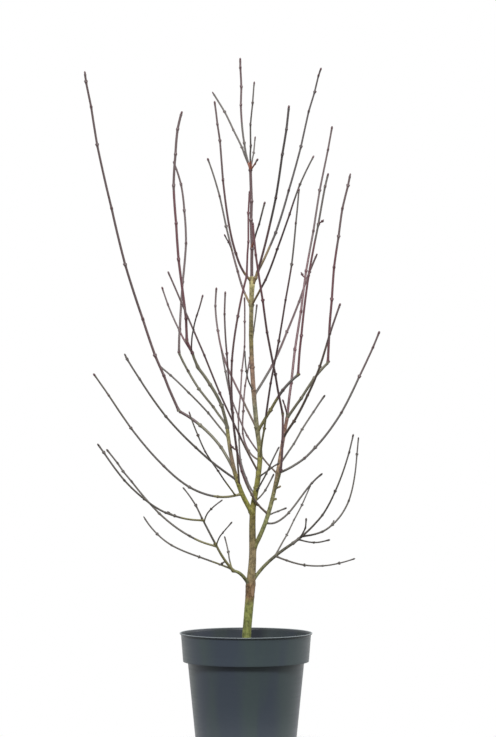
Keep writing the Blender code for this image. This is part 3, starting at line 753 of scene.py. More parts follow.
def unit(vectors: np.ndarray) -> np.ndarray:
    """Gives each vector a length of 1."""
    return vectors / np.maximum(np.linalg.norm(vectors, axis=-1, keepdims=True), 1e-9)


def hump(gap: np.ndarray, width: float) -> np.ndarray:
    """Reads a bell curve that is 1 where the gap is 0 and has all but gone at twice the width."""
    return np.exp(-((gap / width) ** 2))


def unevenness(places: np.ndarray, seed: int) -> np.ndarray:
    """Reads a smooth random field.

    Args:
        places: Points, one a row, measured in the field's own grains.
        seed: Which field.

    Returns:
        A value from -1 to 1 for each point.
    """
    base = np.floor(places).astype(np.int64)
    part = places - base
    part = part * part * (3 - 2 * part)
    total = np.zeros(len(places))
    for corner in itertools.product((0, 1), repeat=3):
        x, y, z = (base + corner).T
        code = (x * 73856093) ^ (y * 19349663) ^ (z * 83492791) ^ (seed * 7919)
        code = ((code ^ (code >> 13)) * 1274126177) & 0x7FFFFFFF
        value = ((code ^ (code >> 15)) & 0xFFFF) / 32767.5 - 1
        total += value * np.prod(np.where(np.array(corner) == 1, part, 1 - part), axis=1)
    return total


def skin(grid: np.ndarray, poles: list | None = None) -> tuple[np.ndarray, list]:
    """Lays faces over rings of points.

    Args:
        grid: The rings, with as many points in each.
        poles: The points that close the first ring and the last, if they are closed.

    Returns:
        The points and the faces.
    """
    rings, sides = grid.shape[:2]
    pairs = [(k, (k + 1) % sides) for k in range(sides)]
    starts = range(0, (rings - 1) * sides, sides)
    faces = [(n + a, n + b, n + b + sides, n + a + sides) for n in starts for a, b in pairs]
    points = grid.reshape(-1, 3)
    if poles:
        pole, top = len(points), (rings - 1) * sides
        faces += [(pole, b, a) for a, b in pairs] + [(pole + 1, top + a, top + b) for a, b in pairs]
        points = np.concatenate([points, poles])
    return points, faces


def link(thing: bpy.types.Object) -> bpy.types.Object:
    """Puts an object in the scene."""
    bpy.context.scene.collection.objects.link(thing)
    return thing


@dataclass
class Shell:
    """Gathers the points and faces of one mesh, in millimetres."""

    name: str
    finishes: tuple
    points: list = field(default_factory=list)
    faces: list = field(default_factory=list)
    tones: list = field(default_factory=list)

    def add(self, points: np.ndarray, faces: list, tones: list | None = None) -> None:
        """Adds points and faces.

        Args:
            points: The new points, one a row.
            faces: Tuples that number the new points.
            tones: The number of each face's finish, where it isn't the first.
        """
        count = sum(map(len, self.points))
        self.points.append(points)
        self.faces += [tuple(k + count for k in face) for face in faces]
        self.tones += tones or [0] * len(faces)

    def made(self, sharp: float = 60.0) -> bpy.types.Object:
        """Makes the mesh object.

        Args:
            sharp: The angle past which an edge stays sharp.

        Returns:
            The object, at the origin.
        """
        mesh = bpy.data.meshes.new(self.name)
        mesh.from_pydata((np.concatenate(self.points) * MM).tolist(), [], self.faces)
        for finish in self.finishes:
            mesh.materials.append(finish.material())
        mesh.polygons.foreach_set("material_index", self.tones)
        mesh.shade_smooth()
        mesh.set_sharp_from_angle(angle=math.radians(sharp))
        mesh.validate()
        mesh.update()
        return link(bpy.data.objects.new(self.name, mesh))


def write_rows(mesh: bpy.types.Mesh, name: str, rows: list | np.ndarray) -> None:
    """Stores a number or a vector for each point of a mesh.

    Args:
        mesh: The mesh.
        name: What to call the attribute.
        rows: The numbers or the vectors.
    """
    rows = np.array(rows, float)
    kind, key = ("FLOAT", "value") if rows.ndim == 1 else ("FLOAT_VECTOR", "vector")
    mesh.attributes.new(name, kind, "POINT").data.foreach_set(key, rows.ravel())


def evaluated(thing: bpy.types.Object, name: str) -> bpy.types.Mesh:
    """Reads the mesh that an object's modifiers make, then removes them and the object.

    Args:
        thing: The object.
        name: The mesh's name.

    Returns:
        The mesh.
    """
    thing.update_tag()
    bpy.context.view_layer.update()
    mesh = bpy.data.meshes.new_from_object(thing.evaluated_get(bpy.context.evaluated_depsgraph_get()))
    mesh.name = name
    thing.modifiers.clear()
    bpy.data.objects.remove(thing)
    return mesh


def place_piece(piece: bpy.types.Object, nodes: tuple = ()) -> None:
    """Makes a finished piece part of the plant and reports it.

    Args:
        piece: The piece.
        nodes: The solids that it stands for.
    """
    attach(piece, BODY)
    if nodes:
        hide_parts(*nodes)
    piece.data.calc_loop_triangles()
    LOG.info("%s: %d triangles", piece.name, len(piece.data.loop_triangles))


def carriage(path: np.ndarray) -> tuple[np.ndarray, np.ndarray, np.ndarray]:
    """Works out the directions at each point of a path, with no twist from one to the next.

    Args:
        path: The points, one a row.

    Returns:
        Unit vectors along the path, to its side, and square to both.
    """
    along = unit(np.gradient(path, axis=0))
    last = np.cross(along[0], (0, 1, 0))
    if np.linalg.norm(last) < 0.2:
        last = np.cross(along[0], (1, 0, 0))
    side = np.zeros_like(path)
    for n, ahead in enumerate(along):
        last = unit(last - ahead * np.dot(last, ahead))
        side[n] = last
    return along, side, np.cross(along, side)


def runs(path: np.ndarray) -> np.ndarray:
    """Measures how far along a path each of its points lies."""
    return np.concatenate([[0.0], np.cumsum(np.linalg.norm(np.diff(path, axis=0), axis=1))])


@dataclass
class Grown:
    """A limb as it has grown: its middle line, its radii, the share of its run at each point of the
    line, and the numbers of the points where its nodes are."""

    path: np.ndarray
    radii: np.ndarray
    shares: np.ndarray
    nodes: list

    def nearest(self, across: float, up: float) -> tuple[np.ndarray, float]:
        """Finds the place on the middle line that lies nearest to a point seen from the front.

        Args:
            across: The point's X.
            up: The point's Z.

        Returns:
            The place, and the radius there.
        """
        steps = np.diff(self.path, axis=0)
        flat, away = steps[:, [0, 2]], np.array([across, up]) - self.path[:-1, [0, 2]]
        share = np.clip((away * flat).sum(axis=1) / np.maximum((flat**2).sum(axis=1), 1e-9), 0, 1)
        n = int(np.argmin(np.linalg.norm(share[:, None] * flat - away, axis=1)))
        return self.path[n] + share[n] * steps[n], self.radii[n]


@dataclass
class GrowthRule:
    """The rule that the whole tree grows by, read finely enough to show every node."""

    internode: float = 44.0
    bough_ring: float = 15.0
    straight_foot: float = 0.64
    taper: float = 0.8
    kink: float = 0.9
    trunk_step: float = 1.0
    bough_step: float = 1.1
    shoot_step: float = 2.4
    node_rings: tuple = (-2.4, -1.4, -0.7, 0.0, 0.6, 1.1, 1.7, 2.6)
    tip_rings: tuple = (0.0, 0.5, 1.0, 1.6)
    node_swell: float = 0.37
    node_length: float = 2.1
    scar_depth: float = 0.06
    tip_swell: float = 0.16
    foot_flare: float = 0.36
    foot_length: float = 2.6
    tip_bud: float = 4.9

    def trunk(self) -> Grown:
        """Grows the trunk.

        Returns:
            Its line, radii and nodes, from a little under the compost's top to the pruned tip.
        """
        up, across, deep, girth = np.array(TRUNK, float).T
        heights = np.linspace(up[0], up[-1], round((up[-1] - up[0]) / self.trunk_step) + 1)
        path = np.stack([smooth_line(up, across, heights), smooth_line(up, deep, heights), heights], axis=1)
        nodes = [int(np.argmin(abs(heights - node))) for node in TRUNK_NODES]
        return Grown(path, smooth_line(up, girth, heights) / 2, (heights - up[0]) / (up[-1] - up[0]), nodes)

    def limb(self, limb: Limb, carrier: Grown, is_old: bool) -> Grown:
        """Grows a limb from its carrier.

        Args:
            limb: Its row in the table.
            carrier: What it grows from.
            is_old: Whether it is old wood, which has no kinks left.

        Returns:
            Its line, radii and nodes, from the carrier's middle line to the foot of its tip buds.
        """
        start, carrier_radius = carrier.nearest(*limb.foot)
        tip = np.array(limb.tip, float)
        chord = np.linalg.norm(tip - start)
        internodes = max(2, round(chord / (self.bough_ring if is_old else self.internode)))
        node_shares = list(limb.nodes) or [n / internodes for n in range(1, internodes)]
        shares = np.linspace(0, 1, max(12, round(chord / (self.bough_step if is_old else self.shoot_step))))
        if not is_old:
            shares = self.ringed(shares, node_shares, chord)
        angles = np.radians(limb.lean)
        ends = np.stack([np.sin(angles), 0 * angles, np.cos(angles)], 1)
        ends *= chord * np.array(limb.pull)[:, None]
        path = hermite(shares[:, None], start, ends[0], tip, ends[1])
        path[:, 1] = start[1] + (tip[1] - start[1]) * np.sin(shares * math.pi / 2)
        if not is_old:
            path += self.kinks(limb.name, node_shares, shares)
        run = runs(path)
        nodes = [int(np.argmin(abs(shares - share))) for share in node_shares]
        radii = (limb.girth[0] + (limb.girth[1] - limb.girth[0]) * shares**self.taper) / 2
        clear = np.maximum(run - carrier_radius, 0)
        radii = radii * (1 + self.foot_flare * np.exp(-clear / self.foot_length))
        if not is_old:
            for n in nodes:
                radii = radii * (1 + self.node_swell * hump(run - run[n], self.node_length))
                radii = radii * (1 - self.scar_depth * hump(run - run[n] + 1.6, 0.5))
            radii = radii * (1 + self.tip_swell * hump(run[-1] - run - 1.5, 1.6))
            radii[-1] *= 0.6
        return Grown(path, radii, shares, nodes)

    def ringed(self, shares: np.ndarray, node_shares: list, chord: float) -> np.ndarray:
        """Adds close rings at a shoot's nodes and tip, and ends it where its tip buds start.

        Args:
            shares: Where its rings are, as shares of its run.
            node_shares: Where its nodes are.
            chord: Its length.

        Returns:
            Where its rings are now.
        """
        close = [share + np.array(self.node_rings) / chord for share in node_shares]
        last = 1 - (self.tip_bud + np.array(self.tip_rings)) / chord
        shares = np.unique(np.clip(np.concatenate([shares, *close, last]), 0, 1).round(5))
        shares = shares[np.concatenate([[True], np.diff(shares) * chord > 0.3])]
        return shares[shares <= 1 - (self.tip_bud - 0.01) / chord]

    def kinks(self, name: str, node_shares: list, shares: np.ndarray) -> np.ndarray:
        """Works out how far a shoot has stepped aside, which changes at each of its nodes.

        Args:
            name: Its name, from which the steps are drawn.
            node_shares: Where its nodes are.
            shares: Where to read it.

        Returns:
            An offset for each share.
        """
        draw = random.Random(name)
        steps = [(0.0, 0.0)] * 2
        for n in range(len(node_shares)):
            side = -self.kink if n % 2 else self.kink
            steps.append((side * draw.uniform(0.5, 1.0), side * draw.uniform(-1.0, 1.0)))
        places = [0.0, node_shares[0] * self.straight_foot, *node_shares, 1.0]
        across, deep = (np.interp(shares, places, values) for values in zip(*steps, (0.0, 0.0)))
        return np.stack([across, deep, 0 * shares], axis=1)


# Old wood


@dataclass
class OldWood:
    """The trunk or a bough: a swept tube with the bark's relief, and a cut face at its end."""

    name: str
    slot: Slot
    bark: MapleBark
    grown: Grown
    shoots: list
    stubs: list
    seed: int = 3
    sides: int = 40
    stub_sides: int = 14
    ridge: float = 0.07
    pebble: float = 0.045
    collar: float = 0.7
    collar_length: float = 3.4
    ring_swell: float = 0.0
    ring_mark: float = 0.5
    ring_reach: float = 14.0
    dormant_bud: float = 0.0
    cut: tuple = ((0.9, 0.1), (0.72, 0.12), (0.6, -0.02))
    cut_depth: float = 0.05

    def build(self) -> None:
        """Builds the piece, sets it in place of its solid and reports it."""
        shell = Shell(self.name + "_in_bark", (self.bark, CALLUS, PRUNED))
        self.sweep(shell, self.grown, self.sides, True)
        for stub in self.stubs:
            self.sweep(shell, stub, self.stub_sides, False)
        piece = shell.made()
        write_rows(piece.data, "ring", self.scars(np.array([v.co for v in piece.data.vertices]) / MM))
        place_piece(piece, (self.name,))

    def scars(self, points: np.ndarray) -> np.ndarray:
        """Marks the leaf-scar line under each node, which the bark darkens.

        Args:
            points: The finished mesh's points.

        Returns:
            How dark each is.
        """
        along = carriage(self.grown.path)[0]
        wander = 0.5 * unevenness(points / 4.0, self.seed + 9)
        ring = np.zeros(len(points))
        for n in self.grown.nodes:
            away = points - self.grown.path[n]
            rise = away @ along[n] + 1.9 + wander
            mark = hump(rise, 1.0) + 0.5 * hump(rise - 3.2, 1.6)
            ring = np.maximum(ring, mark * (np.linalg.norm(away, axis=1) < self.ring_reach))
        return ring * self.ring_mark

    def sweep(self, shell: Shell, grown: Grown, sides: int, is_main: bool) -> None:
        """Sweeps a tube along a limb, and closes it with a rolled rim round a sunk, pruned face.

        Args:
            shell: The mesh that it goes into.
            grown: The limb.
            sides: How many sides the tube has.
            is_main: Whether it is the limb itself, and not a stub on it.
        """
        along, side, front = carriage(grown.path)
        angles = np.linspace(0, 2 * math.pi, sides, endpoint=False)[None, :, None]
        out = np.cos(angles) * side[:, None] + np.sin(angles) * front[:, None]
        middle, radii = grown.path[:, None], grown.radii[:, None]
        smooth = (middle + out * radii[:, :, None]).reshape(-1, 3)
        radii = radii + self.relief(smooth).reshape(out.shape[:2])
        if is_main:
            radii = radii + self.swellings(grown, along, out)
        grid = middle + out * radii[:, :, None]
        heart = grid[-1].mean(axis=0)
        rim = grid[-1] - heart
        ahead = along[-1] * np.linalg.norm(rim, axis=1).mean()
        cut = [heart + rim * share + ahead * rise for share, rise in self.cut]
        poles = [grown.path[0], heart - ahead * self.cut_depth]
        points, faces = skin(np.concatenate([grid, cut]), poles)
        tones, tube = np.zeros(len(faces), int), (len(grid) - 1) * sides
        if is_main:
            tones[:tube] = self.bare(points[:tube])
        tones[tube + sides : tube + len(cut) * sides] = tones[-sides:] = 2
        shell.add(points, faces, tones.tolist())

    def relief(self, points: np.ndarray) -> np.ndarray:
        """Works out how far low lengthwise ridges, and a fine pebbling over them, lift each point."""
        ridges = unevenness(points / (2.2, 2.2, 17.0), self.seed)
        return self.ridge * ridges + self.pebble * unevenness(points / (0.9, 0.9, 2.0), self.seed + 1)

    def bare(self, points: np.ndarray) -> np.ndarray:
        """Says for each point whether its bark has split: nowhere, on a bough."""
        return np.zeros(len(points), int)

    def swellings(self, grown: Grown, along: np.ndarray, out: np.ndarray) -> np.ndarray:
        """Works out the node rings, and the collars under the limbs that spring from this one.

        Args:
            grown: The limb.
            along: Unit vectors along it.
            out: The outward direction at each point of each ring.

        Returns:
            How far each point of each ring stands out.
        """
        run = runs(grown.path)
        total = np.zeros(out.shape[:2])
        for turn, n in enumerate(grown.nodes):
            gap = run - run[n]
            total += self.dormant_bud * abs(out[:, :, turn % 2]) ** 8 * hump(gap, 1.5)[:, None]
            total += self.ring_swell * (hump(gap, 2.6) - 0.5 * hump(gap - 2.4, 0.8))[:, None]
        for shoot in self.shoots:
            reach = np.linalg.norm(shoot.path - shoot.path[0], axis=1)
            n = int(np.argmin(np.linalg.norm(grown.path - shoot.path[0], axis=1)))
            end = min(int(np.searchsorted(reach, grown.radii[n] * 2)), len(reach) - 1)
            heading = shoot.path[end] - shoot.path[0]
            heading = unit(heading - along[n] * np.dot(heading, along[n]))
            turn = np.clip((out * heading).sum(axis=2), 0, 1) ** 2
            lift = self.collar * min(1.0, shoot.radii[-1])
            total += turn * (lift * hump(run - run[n] - 1, self.collar_length))[:, None]
        return total


@dataclass
class Trunk(OldWood):
    """The trunk, with its root flare, its healed graft and a bare patch on that.

    patch is (across, up, half width, half height).
    """

    sides: int = 64
    ridge: float = 0.1
    collar: float = 0.9
    collar_length: float = 4.5
    ring_swell: float = 0.32
    ring_mark: float = 1.0
    dormant_bud: float = 0.9
    flare_top: float = 186.0
    flare_depth: float = 1.5
    flare_lobes: int = 5
    graft: tuple = (256.0, 286.0)
    graft_swell: float = 0.45
    patch: tuple = (10.5, 272.0, 2.4, 11.0)

    def relief(self, points: np.ndarray) -> np.ndarray:
        """Adds the root lobes and the rough graft to the bark's relief.

        Args:
            points: Points of the smooth surface.

        Returns:
            How far each stands out.
        """
        angle = np.arctan2(points[:, 1], points[:, 0])
        down = np.clip((self.flare_top - points[:, 2]) / (self.flare_top - TRUNK[0][0]), 0, 1)
        middle, half = sum(self.graft) / 2, (self.graft[1] - self.graft[0]) / 2
        near = np.exp(-(((points[:, 2] - middle) / half) ** 4))
        rough = unevenness(points / (2.6, 2.6, 3.4), self.seed + 5)
        inside = self.on_patch(points)
        total = super().relief(points) + near * (0.25 + self.graft_swell * rough)
        total += self.flare_depth * down**2 * np.cos(self.flare_lobes * angle + 0.7)
        return total + 0.7 * hump(inside - 1, 0.35) - 0.5 * (inside < 0.85)

    def on_patch(self, points: np.ndarray) -> np.ndarray:
        """Measures how far each point is from the middle of the bare patch, in patch radii."""
        gap = np.hypot(*((points[:, [0, 2]] - self.patch[:2]) / self.patch[2:]).T)
        return np.where(points[:, 1] < 0, gap, 9.0)

    def bare(self, points: np.ndarray) -> np.ndarray:
        """Says for each point whether its bark has split: on the patch."""
        return (self.on_patch(points) < 0.95).astype(int)


# Geometry Nodes


def reckon(tree: bpy.types.NodeTree, operation: str, *values: Source | float) -> Source:
    """Works out a sum, a product or the like in a node tree."""
    return add_node(tree, "ShaderNodeMath", {"operation": operation, **dict(enumerate(values))})


def read(tree: bpy.types.NodeTree, name: str, kind: str = "FLOAT") -> Source:
    """Reads a named attribute in a node tree."""
    return add_node(tree, "GeometryNodeInputNamedAttribute", {"data_type": kind, "Name": name})


@dataclass
class NodeRecipe:
    """A Geometry Nodes tree with named inputs, which turns a plain mesh into a finished one.

    mark is the attribute that holds the number of each place's material.
    """

    name: str
    mark: str
    inputs: tuple

    def tree(self) -> bpy.types.NodeTree:
        """Builds the tree, once.

        Returns:
            The tree.
        """
        tree = bpy.data.node_groups.get(self.name)
        if tree:
            return tree
        tree = bpy.data.node_groups.new(self.name, "GeometryNodeTree")
        for label, kind in (("Geometry", "Geometry"), *self.inputs):
            tree.interface.new_socket(label, in_out="INPUT", socket_type="NodeSocket" + kind)
        tree.interface.new_socket("Geometry", in_out="OUTPUT", socket_type="NodeSocketGeometry")
        given = tree.nodes.new("NodeGroupInput").outputs
        shape = add_node(tree, "GeometryNodeRealizeInstances", {0: self.grow(tree, given)})
        for n, label in enumerate(label for label, kind in self.inputs if kind == "Material"):
            values = {"Geometry": shape, "Material": given[label]}
            if n:
                past = {"operation": "GREATER_THAN", 0: read(tree, self.mark), 1: n - 0.5}
                values["Selection"] = add_node(tree, "FunctionNodeCompare", {"data_type": "FLOAT", **past})
            shape = add_node(tree, "GeometryNodeSetMaterial", values)
        add_node(tree, "NodeGroupOutput", {0: shape})
        return tree

    def grow(self, tree: bpy.types.NodeTree, given: bpy.types.NodeOutputs) -> Source:
        """Builds the tree from its inputs to its bare geometry: each recipe has its own."""
        raise NotImplementedError

    def apply(self, mesh: bpy.types.Mesh, name: str, values: dict) -> bpy.types.Object:
        """Runs the tree on a mesh.

        Args:
            mesh: The mesh that the tree starts from.
            name: The new piece's name.
            values: The inputs' values, by their labels.

        Returns:
            The result as a plain mesh object.
        """
        tree = self.tree()
        carrier = link(bpy.data.objects.new(name + "_seed", mesh))
        modifier = carrier.modifiers.new("grow", "NODES")
        modifier.node_group = tree
        for item in tree.interface.items_tree:
            if item.name in values:
                modifier[item.identifier] = values[item.name]
        grown = evaluated(carrier, name)
        for spare in {"girth", "band", "axis", "size", "tone"} & set(grown.attributes.keys()):
            grown.attributes.remove(grown.attributes[spare])
        return link(bpy.data.objects.new(name, grown))


@dataclass
class ShootRecipe(NodeRecipe):
    """Turns lines into closed shoots: a ring of bark follows each line and swells by its girth."""

    name: str = "shoots_along_lines"
    mark: str = "band"
    inputs: tuple = (
        ("Sides", "Int"), ("Grain", "Float"), ("Grain Size", "Float"),
        ("Old Bark", "Material"), ("Young Bark", "Material"), ("Tip Bark", "Material"),
    )

    def grow(self, tree: bpy.types.NodeTree, given: bpy.types.NodeOutputs) -> Source:
        """Sweeps a ring along the lines and roughens the tubes.

        Args:
            tree: The tree.
            given: Its inputs.

        Returns:
            The shoots.
        """
        line = add_node(tree, "GeometryNodeMeshToCurve", {"Mesh": given["Geometry"]})
        circle = {"Resolution": given["Sides"], "Radius": 1.0}
        ring = add_node(tree, "GeometryNodeCurvePrimitiveCircle", circle)
        tube = {"Curve": line, "Profile Curve": ring, "Scale": read(tree, "girth"), "Fill Caps": True}
        fine = reckon(tree, "DIVIDE", 1.0, given["Grain Size"])
        noise = add_node(tree, "ShaderNodeTexNoise", {"Scale": fine, "Detail": 1.0})
        depth = reckon(tree, "MULTIPLY", reckon(tree, "SUBTRACT", noise, 0.5), given["Grain"])
        offset = {"operation": "SCALE", 0: add_node(tree, "GeometryNodeInputNormal"), "Scale": depth}
        rough = add_node(tree, "GeometryNodeSetPosition", {
            "Geometry": add_node(tree, "GeometryNodeCurveToMesh", tube),
            "Offset": add_node(tree, "ShaderNodeVectorMath", offset),
        })
        return add_node(tree, "GeometryNodeSetShadeSmooth", {"Geometry": rough})


@dataclass
class BudRecipe(NodeRecipe):
    """Sets a pointed bud on every point, turned to the point's axis and scaled by its size."""

    name: str = "buds_on_points"
    mark: str = "tone"
    inputs: tuple = (
        ("Sides", "Int"), ("Rings", "Int"), ("Shoulder", "Float"),
        ("Young Scale", "Material"), ("Old Scale", "Material"),
    )
    point: float = 0.03
    blunt: float = -0.3
    foot: float = 0.55

    def grow(self, tree: bpy.types.NodeTree, given: bpy.types.NodeOutputs) -> Source:
        """Bulges a cone into a bud and sets it on the points.

        Args:
            tree: The tree.
            given: Its inputs.

        Returns:
            The buds.
        """
        cone = {"Vertices": given["Sides"], "Side Segments": given["Rings"], "Radius Top": self.point}
        spot = add_node(tree, "GeometryNodeInputPosition")
        place = add_node(tree, "ShaderNodeSeparateXYZ", {0: spot}).outputs
        left = reckon(tree, "MAXIMUM", reckon(tree, "SUBTRACT", 1.0, place["Z"]), self.point)
        swell = reckon(tree, "MULTIPLY_ADD", place["Z"], given["Shoulder"], self.foot)
        spread = reckon(tree, "MULTIPLY", reckon(tree, "POWER", left, self.blunt), swell)
        bulged = {axis: reckon(tree, "MULTIPLY", place[axis], spread) for axis in "XY"}
        bud = add_node(tree, "GeometryNodeSetPosition", {
            "Geometry": add_node(tree, "GeometryNodeMeshCone", {**cone, "Radius Bottom": 1.0, "Depth": 1.0}),
            "Position": add_node(tree, "ShaderNodeCombineXYZ", {**bulged, "Z": place["Z"]}),
        })
        heading = {"axis": "Z", "Vector": read(tree, "axis", "FLOAT_VECTOR")}
        return add_node(tree, "GeometryNodeInstanceOnPoints", {
            "Points": add_node(tree, "GeometryNodeMeshToPoints", {"Mesh": given["Geometry"]}),
            "Instance": add_node(tree, "GeometryNodeSetShadeSmooth", {"Geometry": bud}),
            "Rotation": add_node(tree, "FunctionNodeAlignRotationToVector", heading),
            "Scale": read(tree, "size", "FLOAT_VECTOR"),
        })


@dataclass
class ChipRecipe(NodeRecipe):
    """Strews flat, rough-edged chips over a surface, from a fixed seed."""

    name: str = "chips_over_surface"
    mark: str = "tone"
    inputs: tuple = (
        ("Density", "Float"), ("Smallest", "Float"), ("Largest", "Float"), ("Thinness", "Float"),
        ("Tilt", "Float"), ("Seed", "Int"),
        ("First Chip", "Material"), ("Second Chip", "Material"), ("Third Chip", "Material"),
    )
    width: float = 0.6
    ragged_size: float = 3.2
    ragged: float = 3.4
    last_tone: float = 2.7

    def grow(self, tree: bpy.types.NodeTree, given: bpy.types.NodeOutputs) -> Source:
        """Deals points over the surface, and gives each a chip of its own shape.

        Args:
            tree: The tree.
            given: Its inputs.

        Returns:
            The chips.
        """
        seed, tilt = {"Seed": given["Seed"]}, given["Tilt"]
        points = {"distribute_method": "RANDOM", "Mesh": given["Geometry"], **seed}
        tone = {"data_type": "FLOAT", 2: 0.0, 3: self.last_tone, **seed}
        marked = add_node(tree, "GeometryNodeStoreNamedAttribute", {
            "data_type": "FLOAT", "domain": "POINT", "Name": "tone",
            "Geometry": add_node(
                tree, "GeometryNodeDistributePointsOnFaces", {**points, "Density": given["Density"]}
            ),
            "Value": add_node(tree, "FunctionNodeRandomValue", tone).outputs[1],
        })
        shape = add_node(tree, "ShaderNodeCombineXYZ", {"X": 1.0, "Y": self.width, "Z": given["Thinness"]})
        block = {"Vertices X": 3, "Vertices Y": 3, "Vertices Z": 2, "Size": shape}
        back = reckon(tree, "MULTIPLY", tilt, -1.0)
        least = add_node(tree, "ShaderNodeCombineXYZ", {"X": back, "Y": back, "Z": 0.0})
        most = add_node(tree, "ShaderNodeCombineXYZ", {"X": tilt, "Y": tilt, "Z": 2 * math.pi})
        turns = {"data_type": "FLOAT_VECTOR", 0: least, 1: most, **seed}
        lie = add_node(tree, "FunctionNodeRandomValue", turns)
        size = {"data_type": "FLOAT", 2: given["Smallest"], 3: given["Largest"], **seed}
        chips = add_node(tree, "GeometryNodeInstanceOnPoints", {
            "Points": marked,
            "Instance": add_node(tree, "GeometryNodeMeshCube", block),
            "Rotation": add_node(tree, "FunctionNodeEulerToRotation", {0: lie}),
            "Scale": add_node(tree, "FunctionNodeRandomValue", size).outputs[1],
        })
        noise = add_node(tree, "ShaderNodeTexNoise", {"Scale": 1 / (self.ragged_size * MM), "Detail": 1.0})
        centred = {"operation": "SUBTRACT", 0: noise.outputs["Color"], 1: (0.5, 0.5, 0.5)}
        offset = {"operation": "SCALE", 0: add_node(tree, "ShaderNodeVectorMath", centred)}
        return add_node(tree, "GeometryNodeSetPosition", {
            "Geometry": add_node(tree, "GeometryNodeRealizeInstances", {0: chips}),
            "Offset": add_node(tree, "ShaderNodeVectorMath", {**offset, "Scale": self.ragged * MM}),
        })


# Young wood


@dataclass(frozen=True)
class BudShape:
    """A kind of bud: its length, its radius, its splay, and how far it is sunk and stands out."""

    length: float
    radius: float
    splay: float
    sunk: float
    offset: float


SIDE_BUD = BudShape(4.3, 1.04, 16.0, 0.9, 0.6)
TIP_BUD = BudShape(5.4, 1.36, -3.0, 0.7, 0.42)


@dataclass
class BudBank:
    """Every bud on the tree: where it stands, where it points, its size, and its tone.

    A young red bud has tone 0, and an old dark one tone 1.
    """

    rows: list = field(default_factory=list)
    sides: int = 7
    rings: int = 4
    shoulder: float = 1.5
    spread: float = 1.25
    tip_scale: float = 0.98
    vigour: tuple = (0.82, 0.14)
    unlike: tuple = (0.85, 1.1)

    def dress(self, name: str, girth: float, grown: Grown, tone: int) -> None:
        """Sets a shoot's buds: a pair at each node, each pair square to the last, and a pair at the tip.

        Args:
            name: The shoot's name, from which its buds are drawn.
            girth: Its diameter at its foot.
            grown: The shoot.
            tone: The buds' tone.
        """
        draw = random.Random(name + "_buds")
        along, side, front = carriage(grown.path)
        turn, last = draw.uniform(0.0, math.pi), len(grown.path) - 1
        for n in [*grown.nodes, last]:
            shape, spread = (TIP_BUD, grown.radii[n - 2]) if n == last else (SIDE_BUD, grown.radii[n])
            splay = math.radians(shape.splay)
            for angle in (turn, turn + math.pi):
                out = side[n] * math.cos(angle) + front[n] * math.sin(angle)
                foot = grown.path[n] - along[n] * shape.sunk + out * spread * shape.offset
                scale = (self.vigour[0] + self.vigour[1] * girth / 3) * draw.uniform(*self.unlike)
                width = self.spread * shape.radius * scale
                length = shape.length * (self.tip_scale if n == last else scale)
                axis = unit(along[n] * math.cos(splay) + out * math.sin(splay))
                self.rows.append((foot * MM, axis, np.array([width, width, length]) * MM, tone))
            turn += math.pi / 2 + draw.uniform(-0.25, 0.25)

    def build(self) -> None:
        """Builds all the buds as one piece."""
        places, axes, sizes, tones = zip(*self.rows)
        mesh = bpy.data.meshes.new("bud_points")
        mesh.from_pydata(np.array(places).tolist(), [], [])
        for name, rows in (("axis", axes), ("size", sizes), ("tone", tones)):
            write_rows(mesh, name, rows)
        place_piece(BudRecipe().apply(mesh, "winter_buds", {
            "Sides": self.sides, "Rings": self.rings, "Shoulder": self.shoulder,
            "Young Scale": RED_BUD.material(), "Old Scale": DARK_BUD.material(),
        }))


